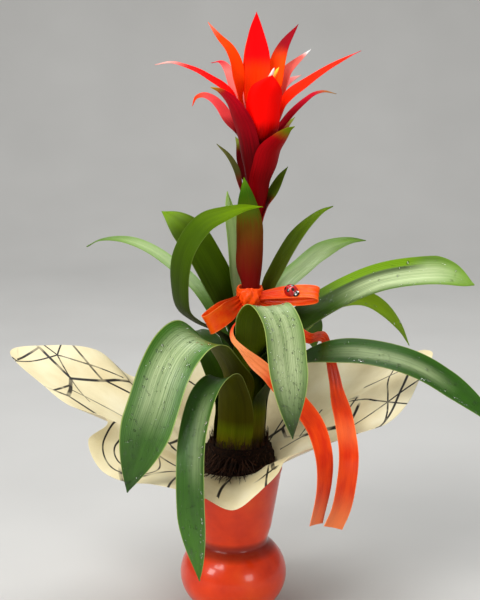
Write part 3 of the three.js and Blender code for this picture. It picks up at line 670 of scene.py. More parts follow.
def stalk_finish():
    f = Finish("stalk", 0.45, 0.45)
    grain = f.noise(f.place(), 120.0)
    tone = (f.height() * 2.0).ramp((0.45, "6f7a2c"), (0.6, "8a2a14"), (0.8, "7a0f0c"))
    return f.done(tone.toned(0.3, grain, (0.3, 0.3), (0.7, 0.7)), grain, 0.15)


def floret_finish():
    """Buds that are orange low down and white or yellow at the tip."""
    f = Finish("floret", 0.42, 0.3)
    height = f.height()
    rise = height.over(0.440, 0.468)
    white = rise.ramp((0.2, "e8560a"), (0.72, "f08040"), (0.84, "fff6ee"))
    yellow = rise.ramp((0.2, "e8560a"), (0.7, "f0700c"), (0.9, "ffc020"))
    colour = white.mixed(height.beside(1).step("GREATER_THAN", -0.006), yellow)
    grain = f.noise(f.place(), 500.0, 2.0)
    return f.done(colour.toned(0.15, grain, (0.3, 0.3), (0.7, 0.7)), grain, 0.08)


def mottled_finish(name, dark, light, scale, relief=0, detail=3.0, grain=0.5, low=0.3, high=0.7, **looks):
    """Two tones that a fine cloud mixes, which also stands out as low relief where a relief depth is given.
    """
    f = Finish(name, **looks)
    cloud = f.noise(f.place(), scale, detail, grain)
    colour = cloud.ramp((low, dark), (high, light))
    if relief:
        return f.done(colour, cloud, relief)
    f.set("Base Color", colour)
    return f.material


def soil_finish(name="soil", dark="060302", light="2c180c"):
    return mottled_finish(name, dark, light, 420.0, 1.2, 6.0, 0.7, 0.35, 0.75, roughness=0.95, specular=0.12)


def lacquer_finish(name, dark, light):
    looks = {"roughness": 0.18, "Coat_Weight": 0.5, "Coat_Roughness": 0.06}
    return mottled_finish(name, dark, light, 300.0, 0.05, **looks)


def water_finish():
    looks = {"Base_Color": "ffffff", "Transmission_Weight": 1.0, "IOR": 1.33}
    return Finish("water", 0.02, **looks).material


# Leaves

VEINS = 26
STRIP_REACH = [(0.52, 0.0), (0.64, 1.0), (0.8, 1.0), (0.86, 0.0)]
SHEATH_TONES = [(0.0, "1a0c02"), (0.22, "342204"), (0.55, "6e640a"), (0.85, "6a7204")]

# What a leaf has where its own row doesn't say otherwise. upper and under are the tones of its two faces.
PLAIN_LEAF = dict(
    cup=45, twist=[(0, 0)], taper=0.8, point=1.6, tip_from=0.7, rim=0.12,
    upper="38500a 427010 467614 628a24", under="32440a 38540a 44640e 628224",
)
# The outermost leaf comes first. dew is the number of drops on its upper face, and where they lie along it.
LEAVES = {
    "leaf_low_left": dict(
        azimuth=255, width=29, cup=30, rim=0.5, dew=(190, 0.42, 0.95),
        path=[(0, -32, 204), (-7, -46, 222), (-20, -66, 216), (-29, -88, 190), (-31, -104, 150),
              (-29, -109, 110), (-26, -108, 74)],
        upper="444a0e 427014 3c6a12 52861e", under="585204 5a5e06 486010 44640e",
        painted_sheen=(0.38, 0.75, 0.62, 0.34, 0.34),
    ),
    "leaf_back_left": dict(
        azimuth=125, width=33, shine=0.08, dew=(24, 0.6, 0.95),
        path=[(-14, 32, 206), (-26, 56, 226), (-42, 88, 227), (-56, 115, 210), (-65, 132, 184)],
        upper="36480a 344c04 305004 44640e", under="36480a 344c04 305004 44640e",
    ),
    "leaf_back_right": dict(
        azimuth=58, width=33, dew=(24, 0.6, 0.95),
        path=[(26, 34, 214), (38, 60, 240), (54, 90, 243), (68, 116, 226), (76, 134, 198)],
    ),
    "leaf_right_arch": dict(
        azimuth=345, width=31, rim=0.3, shine=0.3, dew=(240, 0.4, 0.97),
        path=[(40, -10, 215), (62, -17, 231), (92, -25, 238), (124, -32, 236), (152, -38, 228),
              (176, -42, 214), (201, -46, 196), (219, -48, 179)],
        twist=[(0.3, 0), (0.5, 24)],
        upper="36480a 30580a 3a6810 44761a", under="30400a 243a06 30500a 44640e",
        painted_sheen=(0.4, 0.85, 0.5, 0.34, 0.52),
    ),
    "leaf_right_low": dict(
        azimuth=30, width=20, shine=0.15, dew=(24, 0.55, 0.95),
        path=[(39, 19, 222), (57, 34, 248), (84, 54, 263), (110, 70, 263), (134, 80, 250), (150, 87, 232),
              (160, 91, 213)],
        twist=[(0.3, 0), (0.5, 50), (1, 55)],
        upper="425a0c 667c06 809808 92ae0c", under="3c520a 667c06 809808 92ae0c",
    ),
    "leaf_back": dict(
        azimuth=92, width=34, dew=(30, 0.6, 0.95),
        path=[(10, 30, 224), (9, 48, 256), (4, 80, 270), (0, 112, 262), (-2, 140, 238), (-3, 154, 206)],
    ),
    "leaf_front_left": dict(
        azimuth=225, width=42, rim=0.6, dew=(300, 0.48, 0.98),
        path=[(-9, -24, 232), (-20, -38, 250), (-33, -54, 257), (-45, -68, 250), (-54, -80, 235),
              (-61, -89, 214), (-69, -96, 191), (-76, -102, 168), (-82, -105, 147)],
        twist=[(0.4, 0), (0.6, -30), (1, -38)],
        upper="36480a 4c7c1e 4a7a1c 335a0c", under="5a5604 546004 3c5006 44640e",
        painted_sheen=(0.42, 0.86, 0.5, 0.44, 0.74),
    ),
    "leaf_right_channel": dict(
        azimuth=355, width=38, cup=24, taper=0.88, shine=0.14, dew=(120, 0.5, 0.97),
        path=[(32, -4, 232), (48, -4, 248), (68, -1, 263), (96, 3, 279), (124, 5, 290), (152, 4, 295),
              (180, 0, 296), (200, -4, 290)],
        twist=[(0.3, 0), (0.5, 30), (1, 38)],
        upper="202c04 344c04 547818 90b054", under="1e2c06 1c2a04 2f500a 648426",
        painted_sheen=(0.56, 1.0, 0.52, 0.46, 0.85), strip=("6c9404", 0.8),
    ),
    "leaf_left_far": dict(
        azimuth=145, width=15,
        path=[(-8, 20, 240), (-26, 36, 272), (-47, 56, 291), (-73, 77, 305), (-99, 92, 311),
              (-120, 100, 309), (-133, 104, 302)],
        twist=[(0.35, 0), (0.5, -18)],
        upper="426418 70943c 88a854 729830", under="385412 6e9038 84a650 729830",
        painted_sheen=(0.45, 0.95, 0.5, 0.6, 0.5),
    ),
    "leaf_front": dict(
        azimuth=294, width=38, cup=70, rim=0.7, dew=(300, 0.5, 0.98),
        path=[(18, -21, 247), (20, -34, 271), (29, -49, 282), (38, -64, 270), (42, -78, 241),
              (45, -88, 213), (47, -94, 187)],
        twist=[(0.4, 0), (0.6, -2)],
        upper="36480a 729838 648c2c 34500c", under="6a7408 6a7c08 5a6c08 44640e",
        painted_sheen=(0.4, 0.97, 0.5, 0.6, 1.0),
    ),
    "leaf_right_far": dict(
        azimuth=50, width=17,
        path=[(27, 20, 256), (44, 45, 281), (61, 70, 291), (76, 90, 299), (92, 106, 304), (107, 114, 306),
              (121, 118, 305)],
        twist=[(0.35, 0), (0.55, 45)],
        upper="426418 709638 84a64c 88ac40", under="385412 638a2c 7aa040 88ac40",
        painted_sheen=(0.45, 0.95, 0.4, 0.6, 0.6),
    ),
    "leaf_left_curl": dict(
        azimuth=200, width=24, taper=0.68, shine=0.08,
        path=[(-15, -4, 250), (-31, -6, 259), (-42, -11, 270), (-45, -16, 291), (-42, -20, 316),
              (-34, -24, 334), (-22, -28, 347), (-7, -31, 354), (9, -32, 359), (24, -32, 360)],
        twist=[(0.4, 0), (0.7, 8), (0.9, 34), (1, 38)],
        upper="34400a 364402 587404 98b808", under="343e08 344202 587404 98b808",
    ),
    "leaf_left_broad": dict(
        azimuth=150, width=33, taper=0.85, tip_from=0.8, shine=0.08,
        path=[(-3, 13, 256), (-10, 18, 280), (-23, 24, 305), (-36, 30, 325), (-50, 37, 339), (-61, 44, 344)],
        twist=[(0.45, 0), (0.65, -24), (1, -30)],
        upper="34400a 3e5002 485e02 8cac08", under="34400a 3c4e02 485e02 8cac08",
    ),
    "leaf_right_upright": dict(
        azimuth=24, width=15.5, shine=0.08,
        path=[(27, 8, 266), (30, 11, 286), (37, 15, 300), (45, 20, 314), (54, 25, 327), (65, 31, 338),
              (76, 36, 346), (85, 40, 349)],
        twist=[(0.45, 0), (0.65, 24)],
        upper="6a5008 585a04 5a6e04 88a60c", under="624c08 565804 5a6e04 88a60c",
    ),
    "leaf_back_slim": dict(
        azimuth=130, width=15, taper=0.86,
        path=[(6, 15, 268), (3, 23, 288), (2, 30, 308), (0, 38, 329), (-3, 46, 348), (-5, 52, 360)],
        upper="425e16 6e903c 8caa5a 9eba6c", under="425e16 6e903c 8caa5a 9eba6c",
        painted_sheen=(0.4, 1.0, 0.5, 0.7, 0.5),
    ),
    "leaf_inner_short": dict(
        azimuth=85, width=12,
        path=[(14, 15, 268), (16, 26, 290), (20, 35, 308), (23, 40, 320)],
    ),
}


DROP = dict(smallest=0.4, growth=0.9, flat=0.55, sunk=0.03, rings=3, sides=8)


class Leaf(Blade):
    """A strap leaf: it stands in the nest of sheaths, lets go at its own height and arches out."""

    def __init__(self, ring, form, seed):
        radius = SHEATH["inner"] + SHEATH["pitch"] * ring
        foot, let_go = SHEATH["foot"], RELEASE["highest"] - RELEASE["step"] * ring
        nest = [(radius, z) for z in (foot, foot + 8, lerp(foot, let_go, 0.5), let_go - 14, let_go)]
        full = form["width"]
        sheath = min(1.15 * full, 2 * math.pi * radius * SHEATH["wrap"])

        def widths(free, open_at):
            return [(free, sheath), (open_at, full * 0.9), (open_at + 0.12, full)]

        super().__init__(form, nest, 0.14, radius, widths, LEAF)
        loose = smooth(self.u, self.free + 0.02, self.open_at + 0.1)[:, None]
        u, v = self.grid()
        rippled = waves(seed, 5, u * 0.12, v * 3) * self.margin**2
        self.push(loose * LEAF["ripple"] * (rippled + 0.5 * waves(seed + 50, 4, u * 0.05, v * 9)))
        self.thickness = lerp(SHEATH["thickness"], LEAF["thickness"], loose) * (1 - 0.55 * self.margin**3)


def make_dew(name, leaf, count, low, high, water):
    """Drops of water on a leaf's upper face, between two shares of its length."""
    draw = random.Random(name)
    drops = []
    for _ in range(count):
        point, normal = leaf.spot(draw.uniform(low, high), draw.uniform(-0.4, 0.4))
        radius = DROP["smallest"] + DROP["growth"] * draw.random() ** 3
        radii = radius, radius, DROP["flat"] * radius
        a = unit(np.cross(normal, clear_of(normal)))
        drop = dome(radii, DROP["rings"], DROP["sides"], sunk=DROP["sunk"])
        drops.append(posed(drop, (a, np.cross(normal, a), normal), point + normal * leaf.thickness.max() / 2))
    add(f"dew_on_{name}", joined(drops), water, "leaf")


def make_leaves():
    water = water_finish()
    for order, (name, own) in enumerate(LEAVES.items()):
        form = {**PLAIN_LEAF, **own}
        leaf = Leaf(len(LEAVES) - 1 - order, form, seed=11 + order)
        faces = []
        for face, gloss, shine in (("upper", 0.34, 0.42), ("under", 0.42, 0.12)):
            shine = form.get("shine", shine)
            faces.append(leaf_finish(f"{name}_{face}", form, face, leaf.free, gloss, shine, order * 3.1))
        dress(sheet_object(f"{name}_blade", leaf, leaf.thickness, faces), "leaf", name)
        if "dew" in form:
            make_dew(name, leaf, *form["dew"], water)


# Bracts

SCAPE_TONES = [(0.0, "5a0404"), (0.3, "6c0c08"), (0.52, "6e2a08"), (0.66, "684408"), (0.76, "4a5c08"),
               (0.9, "345a08"), (1.0, "5c8a10")]

# What a bract has where its own row doesn't say otherwise. rise is in metres above the floor.
PLAIN_BRACT = dict(
    seat_width=10, slope=0.17, cup=16, twist=[(0, 0)], taper=0.62, point=1.6,
    rise=(0.385, 0.455),
)
# tones are the colours of a bract's foot, body and tip, and the tip's begins at the share tip_from.
BRACTS = {
    "bract_scape_front": dict(
        base=262, slope=0.1, azimuth=270, leave=290, width=25, cup=14,
        path=[(13.5, -10, 306), (13.7, -13, 322), (13.5, -15, 340), (12, -17, 356), (9, -20, 382)],
    ),
    "bract_low_left": dict(
        level=0, azimuth=190, leave=350, width=9,
        path=[(7, -3, 366), (2.5, -4, 386), (-4, -4, 398), (-13, -4, 407)],
        twist=[(0.3, 0), (0.6, -40)],
        tones="7a1012 b84a48 5c6a36", tip_from=0.5, rise=(0.36, 0.40),
    ),
    "bract_low_right": dict(
        level=0, azimuth=10, leave=345, width=11,
        path=[(28, 2, 355), (32, 3, 364), (36, 4, 372), (40, 5, 380), (45, 7, 387)],
        twist=[(0.3, 0), (0.6, 35)],
        tones="8a1008 6a4a10 4c6c18", tip_from=0.42, rise=(0.352, 0.372),
    ),
    "bract_front_right": dict(
        level=1, azimuth=300, leave=375, width=26,
        path=[(28, -13, 389), (31, -17, 401), (37, -21, 411), (44, -24, 420), (49, -25, 423)],
        tones="6e0006 c40414 6c8a0c", tip_from=0.8, rise=(0.372, 0.436),
    ),
    "bract_low_back": dict(
        level=1, azimuth=115, leave=365, width=14,
        path=[(9, 21, 388), (6, 31, 402), (2, 40, 408)],
        tones="560006 a01018 6f8a22", tip_from=0.75,
    ),
    "bract_front_left": dict(
        level=2, azimuth=225, leave=385, width=26,
        path=[(9, -15, 411), (4, -19, 428), (-2, -22, 442), (-10, -25, 451), (-17, -27, 454)],
        tones="540006 c00420 c89c08", tip_from=0.9, rise=(0.392, 0.46),
    ),
    "bract_back_right_low": dict(
        level=2, azimuth=66, leave=375, width=15,
        path=[(34, 22, 400), (42, 34, 416), (52, 45, 424)],
        tones="560006 b8101a 7f9a1c", tip_from=0.8,
    ),
    "bract_left_small": dict(
        level=3, azimuth=170, leave=395, width=13,
        path=[(4, 4, 416), (-5, 7, 427), (-11, 9, 436), (-17, 10, 442), (-24, 10, 445), (-30, 10, 443),
              (-33, 10, 436)],
        twist=[(0.4, 0), (0.6, -35)],
        tones="560006 f25a5e f04410", tip_from=0.8, rise=(0.412, 0.432),
    ),
    "bract_right_thin": dict(
        level=3, azimuth=12, leave=385, width=7,
        path=[(36, 4, 415), (42, 6, 424), (50, 7, 433), (59, 8, 441), (66, 9, 446), (74, 9, 448),
              (84, 9, 446)],
        twist=[(0.3, 0), (0.5, 35)],
        tones="560006 c81030 a8883c", tip_from=0.84,
    ),
    "bract_centre_front": dict(
        level=4, azimuth=275, leave=400, width=31, cup=18, taper=0.78, point=2.4,
        path=[(24, -22, 424), (25.5, -26, 443), (29, -28, 455), (31, -27, 463)],
        tones="6a0002 ff0600 ff0a00", tip_from=0.9, rise=(0.404, 0.43),
    ),
    "bract_back": dict(
        level=4, azimuth=92, leave=400, width=20,
        path=[(19, 25, 426), (17, 41, 450), (15, 62, 464)],
        tones="560006 f01206 f44c10", tip_from=0.85,
    ),
    "bract_left_far": dict(
        level=5, azimuth=190, leave=405, width=12, taper=0.4, point=1.1,
        path=[(4, -5, 431), (-1, -5, 445), (-8, -5, 453), (-17, -6, 459), (-27, -6, 465), (-37, -6, 469),
              (-49, -6, 472), (-62, -6, 470)],
        twist=[(0.35, 0), (0.55, -45)],
        tones="560006 f4100e f0b4ac", tip_from=0.8,
    ),
    "bract_right_big": dict(
        level=5, azimuth=352, leave=402, width=17, taper=0.35, point=1.1,
        path=[(39, -8, 430), (42, -8, 440), (47, -8, 447), (56, -8, 454), (67, -8, 462), (78, -7, 469),
              (91, -7, 476), (102, -6, 481)],
        twist=[(0.35, 0), (0.55, 45)],
        tones="560006 f82806 f4484c", tip_from=0.9,
    ),
    "bract_left_back": dict(
        level=6, azimuth=140, leave=415, width=13,
        path=[(5, 19, 440), (1, 25, 452), (-4, 32, 464), (-10, 38, 470), (-18, 44, 469)],
        twist=[(0.4, 0), (0.6, -25)],
        tones="560006 f28a84 e8142a", tip_from=0.78,
    ),
    "bract_right_second": dict(
        level=6, azimuth=25, leave=412, width=13, seat_width=8,
        path=[(36, 14, 436), (39, 17, 451), (44, 20, 463), (52, 24, 471), (64, 28, 481)],
        twist=[(0.4, 0), (0.6, 30)],
        tones="560006 f27468 ffffff", tip_from=0.9,
    ),
    "bract_right_third": dict(
        level=7, azimuth=76, leave=418, width=12, seat_width=6,
        path=[(27, 27, 437), (38, 32, 448), (47, 37, 455), (57, 43, 459)],
        tones="560006 f27c7c f6b0a8", tip_from=0.85,
    ),
    "bract_left_upper": dict(
        level=7, azimuth=168, leave=420, width=14, seat_width=8,
        path=[(5, 3, 443), (4, 5, 458), (2, 8, 471), (-3, 10, 482), (-11, 12, 491), (-20, 14, 503)],
        twist=[(0.4, 0), (0.6, -35)],
        tones="560006 ff4c06 f88468", tip_from=0.86,
    ),
    "bract_right_upper": dict(
        level=8, azimuth=40, leave=425, width=15,
        path=[(34, 11, 447), (35, 13, 463), (37.5, 15, 474), (42, 18, 485), (53, 21, 501)],
        twist=[(0.4, 0), (0.6, 25)],
        tones="560006 ff5408 94041c", tip_from=0.68,
    ),
    "bract_back_upper": dict(
        level=9, azimuth=105, leave=428, width=15,
        path=[(15, 18, 450), (14, 25, 472), (12, 36, 490)],
        tones="560006 f43006 f45c14", tip_from=0.85,
    ),
    "bract_centre_top": dict(
        level=10, azimuth=85, leave=432, width=21, cup=22, taper=0.6,
        path=[(20, 9, 448), (20, 10, 475), (19, 8, 495), (19, 4, 511)],
        tones="f03a04 ff4206 fb0810", tip_from=0.5, rise=(0.44, 0.485),
    ),
}


class Bract(Blade):
    """A bract: it hugs the stalk at its level, rises with the cone of its neighbours and spreads."""

    def __init__(self, form, seed):
        base = form["base"] if "base" in form else BRACT["low"] + BRACT["step"] * form["level"]
        heights = [lerp(base, form["leave"], share) for share in (0, 0.4, 0.8, 1)]
        nest = [(BRACT["seat"] + form["slope"] * (z - base), z) for z in heights]
        full, foot = form["width"], form["seat_width"]

        def widths(free, open_at):
            return [(0, foot), (max(free, 0.3), full), (1, full)]

        super().__init__(form, nest, 0.2, BRACT["seat"], widths, BRACT)
        loose = smooth(self.u, self.free, self.open_at + 0.1)[:, None]
        u, v = self.grid()
        self.push(loose * BRACT["ripple"] * waves(seed, 4, u * 0.2, v * 4) * self.margin**2)
        self.thickness = BRACT["thickness"] * (1 - 0.5 * self.margin**3)


def make_bracts():
    for order, (name, own) in enumerate(BRACTS.items()):
        form = {**PLAIN_BRACT, **own}
        if "tones" in form:
            finish = bract_finish(name, form["tones"], form["tip_from"], form["rise"], order)
            slot = "bract"
        else:
            finish, slot = scape_finish(), "scape_bract"
        bract = Bract(form, seed=71 + order)
        dress(sheet_object(f"{name}_blade", bract, bract.thickness, [finish]), slot, name)


def make_stalk():
    heights = np.linspace(STALK_LEAN[0][0], STALK_TOP, 60)
    knots = 1 + 0.03 * np.sin(heights * 0.35)
    stem = tube([(stalk_x(z), 0, z) for z in heights], STALK_RADIUS * knots, 24)
    add("stem", stem, stalk_finish(), "stalk", "flower_stalk")


FLORET_FOOT = (20, 0, 436.5)
FLORET_TIPS = [(33, -13, 468), (37, -2, 468), (15, -3, 450), (22, 6, 452)]
FLORET_RADIUS = 1.9
FLORET_SWELL = [(0, 0.6), (0.4, 0.7), (0.72, 1.0), (0.93, 0.6), (1, 0.06)]
FLORET_SIDES = 18


def make_florets():
    """Buds on the stalk's end: a slim tube that swells to three overlapping petals at its tip."""
    foot = np.array(FLORET_FOOT)
    shares = np.linspace(0, 1, 26)
    petals = 1 + 0.12 * np.cos(3 * full_turn(FLORET_SIDES)) * smooth(shares, 0.4, 0.9)[:, None]
    parts = []
    for tip in FLORET_TIPS:
        centre = foot + (np.array(tip) - foot) * shares[:, None]
        points, faces = tube(centre, eased(FLORET_SWELL, shares) * FLORET_RADIUS, FLORET_SIDES)
        rings = points.reshape(len(shares), FLORET_SIDES, 3) - centre[:, None]
        parts.append(((centre[:, None] + rings * petals[..., None]).reshape(-1, 3), faces))
    seat = [foot + np.array([0, 0, z]) for z in np.linspace(-2.1, 1.8, 9)]
    parts.append(tube(seat, [0.3, 1.7, 2.3, 2.6, 2.6, 2.5, 2.1, 1.4, 0.3], FLORET_SIDES))
    add("buds", joined(parts), floret_finish(), "floret", "florets")


# Pot and potting mix

POT_SEGMENTS, HEAP_SEGMENTS, FILL_SEGMENTS = 144, 170, 96
CHIP = dict(count=170, length=(1.2, 4.0), radius=(0.35, 0.9), sides=5)
ROOTS = dict(clinging=420, trailing=54, points=6, sides=5)


def cup_inside(z):
    share = (z - CUP["low"]) / (CUP["rim"] - CUP["low"])
    return lerp(CUP["low_radius"], CUP["rim_radius"], share) - POT_WALL


def liner_outside(z):
    return cup_inside(z) - LINER["gap"]


def pot_outline():
    """The pot's half section: foot, bulge, waist, cup and rounded rim outside, then the hollow inside."""
    waist, neck, rim, edge = WAIST["radius"], WAIST["height"], CUP["rim"], CUP["round"]
    foot = [(0, 0)] + [(FOOT_RADIUS + out, up) for out, up in ((-2, 0), (-0.5, 0.4), (0.8, 1.4), (1.2, 3))]
    bulge = arc(BULGE["height"], (BULGE["radius"], BULGE["half"]), -44, 40, 26)
    turns = [bulge[-1], (waist + 0.6, neck + 0.5), (waist + 0.8, 66), (waist + 2, 71),
             (CUP["low_radius"], CUP["low"]), (cup_inside(84) + POT_WALL, 84)]
    curve = Track([(*point, 0) for point in turns]).at(np.linspace(0.06, 1, 22))[:, :2]
    cup = [(cup_inside(z) + POT_WALL, z) for z in np.linspace(88, rim - 3.2, 12)]
    lip = arc(rim - edge, (edge, edge), 8, 172, 9, CUP["rim_radius"] - edge)
    inside = [(cup_inside(z), z) for z in np.linspace(rim - 4, CUP["low"], 10)]
    inside.append((waist - POT_WALL - 1, neck + 1))
    inside += arc(BULGE["height"], (BULGE["radius"] - POT_WALL, BULGE["half"] - POT_WALL), 30, -30, 7)
    return [*foot, *bulge, *curve, *cup, *lip, *inside, (FOOT_RADIUS - 6, POT_WALL + 1), (0, POT_WALL)]


def make_pot():
    add("glazed_pot", turned(pot_outline(), POT_SEGMENTS), glaze_finish(), "glaze", "pot", sharp=60)


def crumbly(radius, height, angle):
    """Uneven ground: the mix's surface is pushed in and out by seeded waves of several sizes."""
    x, y = radius * np.cos(angle), radius * np.sin(angle)
    lumps = 1.1 * waves(5, 7, x * 0.22, y * 0.22, height * 0.25)
    crumbs = 0.7 * waves(9, 9, x * 0.9, y * 0.9, height * 0.9)
    crumbs = crumbs + 0.4 * waves(13, 9, x * 2.2, y * 2.2, height * 2.0)
    exposed = smooth(height, MIX_LEVEL - 14, MIX_LEVEL - 6)
    stir = (lumps + crumbs) * exposed * smooth(radius, SEAT_RADIUS - 0.5, SEAT_RADIUS + 1.5)
    return radius + 0.55 * stir, height + 0.8 * stir


def bark_chip(draw):
    """A chip of bark that lies on the heap's side."""
    angle, height = draw.uniform(0, 2 * math.pi), draw.uniform(MIX_LEVEL, MOUND["top"])
    share = (height - MIX_LEVEL) / (MOUND["top"] - MIX_LEVEL)
    out = np.array([math.cos(angle), math.sin(angle), 0])
    centre = np.array([*SEAT, height]) + out * (MOUND["radius"] - 0.6 - 2.5 * smooth(share))
    along = unit(np.array([draw.gauss(0, 1) for _ in range(3)]) + 1.5 * np.cross(out, [0, 0, 1]))
    half, thick = along * draw.uniform(*CHIP["length"]) / 2, draw.uniform(*CHIP["radius"])
    return tube([centre - half, centre, centre + half], [thick * 0.4, thick, thick * 0.4], CHIP["sides"])


def clinging_root(draw, climbs):
    """A root fibre that clings to the heap's side, or climbs the foot of the sheaths."""
    radius, top = MOUND["radius"], MOUND["top"]
    angle = draw.uniform(0, 2 * math.pi)
    lean = draw.uniform(-0.07, 0.07) if climbs else draw.uniform(-0.25, 0.25)
    start = draw.uniform(MIX_LEVEL + 3, top)
    points = []
    for share in np.linspace(0, 1, ROOTS["points"]):
        angle += lean + draw.uniform(-0.04, 0.04)
        if climbs:
            height = lerp(top - 6, top + draw.uniform(3, 13), share)
            out = radius - 0.5 - 4.3 * smooth(height, MIX_LEVEL + 8, top + 1) + 0.5 * share
        else:
            height = lerp(start, LINER["lip"] + 2.6, smooth(share * 1.5))
            out = radius + 1.4 - 4.5 * smooth(height, MIX_LEVEL, top + 1)
        points.append(about(SEAT, out, angle, height))
    return tube(points, draw.uniform(0.16, 0.42) * np.array([1, 1, 0.9, 0.8, 0.6, 0.3]), ROOTS["sides"])


def trailing_root(draw):
    """A root fibre that runs out over the front of the paper."""
    angle, reach = draw.uniform(-2.45, -1.3), draw.uniform(14, 40)
    start, end = draw.uniform(141, 148), 138.8 + 12 * max(0, angle + 1.57)
    points = []
    for share in np.linspace(0, 1, ROOTS["points"]):
        height = lerp(start, end, smooth(share * 1.7)) + draw.uniform(0, 0.7)
        points.append(about(SEAT, MOUND["radius"] - 1.5 + reach * share, angle, height))
        angle += draw.uniform(-0.04, 0.04)
    return tube(points, draw.uniform(0.3, 0.6) * np.array([1, 1, 1, 0.9, 0.7, 0.3]), ROOTS["sides"])


def make_potting_mix():
    """The heap of mix round the plant, with chips of bark and a fringe of root fibres."""
    radius, top = MOUND["radius"], MOUND["top"]
    outline = [(0, MIX_LEVEL - 10), (radius - 6, MIX_LEVEL - 10)]
    outline += [(radius + 1.0 - 5.0 * s**2.2, lerp(MIX_LEVEL, top + 1.5, s)) for s in np.linspace(0, 1, 20)]
    outline += [(SEAT_RADIUS - 0.1, top + 1.0), (SEAT_RADIUS, top - 4), (SEAT_RADIUS, 140), (0, 139.4)]
    heap = turned(outline, HEAP_SEGMENTS, crumbly, SEAT)
    add("root_ball", heap, soil_finish(), "soil", "potting_mix", sharp=180)
    low, high = cup_inside(87), cup_inside(128)
    outline = [(0, 82), (low - 8, 82), (low - 2.4, 88), (high - 2.4, 128), (high - 5, MIX_LEVEL - 1)]
    filled = turned([*outline, (0, MIX_LEVEL)], FILL_SEGMENTS)
    add("mix_in_cup", filled, soil_finish("soil_in_cup"), "soil", sharp=60)
    draw = random.Random(21)
    chips = joined([bark_chip(draw) for _ in range(CHIP["count"])])
    add("bark_chips", chips, soil_finish("bark", "1a0f09", "5a3c26"), "soil", sharp=20)
    roots = [clinging_root(draw, k % 2) for k in range(ROOTS["clinging"])]
    roots += [trailing_root(draw) for _ in range(ROOTS["trailing"])]
    finish = mottled_finish("root_fibre", "0c0603", "42230f", 160.0, roughness=0.85, specular=0.25)
    add("root_fibres", joined(roots), finish, "soil", sharp=60)


# Paper wrap

PAPER_OUTLINE = [
    (170, 12, 227), (143, 58, 216), (92, 92, 206), (30, 116, 200), (-40, 108, 192), (-88, 62, 191),
    (-120, 46, 221), (-158, 28, 230), (-187, 0, 233), (-154, -36, 211), (-134, -46, 198), (-103, -47, 185),
    (-117, -62, 175), (-106, -80, 156), (-86, -89, 149), (-62, -92, 148), (-26, -97, 141), (0, -99, 130),
    (19, -95, 141), (36, -85, 154), (44, -74, 162), (76, -63, 170), (102, -51, 175), (128, -37, 180),
    (146, -20, 193), (158, -2, 210),
]
PAPER_SPAN_STEPS = 16
PAPER_ROWS = 56


def facing(grid):
    """The way each point of a grid faces that closes round."""
    return unit(np.cross(np.gradient(grid, axis=0), np.roll(grid, -1, 1) - np.roll(grid, 1, 1)))


def make_paper():
    """The wrap lines the cup, climbs over the rim and flares out to its outline in soft folds."""
    edge = Track(PAPER_OUTLINE, closed=True).points[: -1 : Track.SPAN_SAMPLES // PAPER_SPAN_STEPS]
    angle = np.arctan2(edge[:, 1], edge[:, 0])
    half, lip, turn_up = PAPER_THICKNESS / 2, LINER["lip"], LINER["floor"] + LINER["corner"]

    def ring(radius, height):
        return about((0, 0), radius, angle, height)

    rows = [ring(liner_outside(turn_up) - LINER["corner"], LINER["floor"] + half)]
    rows += [ring(liner_outside(z) - half, z) for z in (turn_up, 95, LINER["middle"], 120, 128)]
    start = ring(liner_outside(lip) - half, lip)
    reach = np.hypot(edge[:, 0], edge[:, 1])
    bend = ring(lerp(CUP["rim_radius"] + 4, reach, 0.22), lerp(lip + 7, edge[:, 2], 0.3))
    shares = smooth(np.linspace(0, 1, PAPER_ROWS)) * 0.4 + np.linspace(0, 1, PAPER_ROWS) * 0.6
    rows += [(1 - t) ** 2 * start + 2 * t * (1 - t) * bend + t**2 * edge for t in shares]
    grid = np.array(rows)
    grid = grid + facing(grid) * paper_folds(grid, shares, angle)[..., None]
    run = np.cumsum(np.linalg.norm(np.diff(grid, axis=0, prepend=grid[:1]), axis=-1), axis=0)
    flat = (about((0, 0), run, angle, 0)[..., :2] * MM).reshape(-1, 2)

    thin = 0.45 * half
    offset, bottom = facing(grid) * thin, LINER["floor"] + half
    ends = [(0, 0, bottom + thin), (0, 0, bottom - thin)]
    points = np.concatenate([(grid + offset).reshape(-1, 3), (grid - offset).reshape(-1, 3), ends])
    count, depth, below = len(angle), len(grid), len(flat)
    faces = [*quads(depth - 1, count), *quads(depth - 1, count, below, True)]
    faces += [*walls((depth - 1) * count + np.arange(count), below)]
    faces += [*fan(2 * below, 0, count), *fan(2 * below + 1, below, count, True)]
    uv = np.concatenate([flat, flat, [(0, 0), (0, 0)]])
    add("wrapping_paper", (points, faces), paper_finish(), "wrap_paper", "paper_wrap", uv=uv, sharp=50)


def paper_folds(grid, shares, angle):
    """How far the paper stands off its smooth flare: gathers at the rim and broad soft folds further out."""
    lining = len(grid) - len(shares)
    t = np.concatenate([np.zeros(lining), shares])[:, None]
    gathers = 0.9 * waves(31, 5, angle * 9, t * 2) * smooth(t, 0.02, 0.12) * (1 - smooth(t, 0.3, 0.75))
    broad = 1.6 * waves(33, 5, grid[..., 0] * 0.035, grid[..., 1] * 0.035) * smooth(t, 0.15, 0.6)
    creases = 0
    draw = random.Random(35)
    for _ in range(9):
        place, lean = draw.uniform(-math.pi, math.pi), draw.uniform(-0.5, 0.5)
        away = np.abs(np.angle(np.exp(1j * (angle + lean * t - place))))
        creases = creases + draw.uniform(0.6, 1.6) * np.exp(-away / 0.07) * smooth(t, 0.1, 0.5)
    return gathers + broad + creases


# Ribbon and ladybird

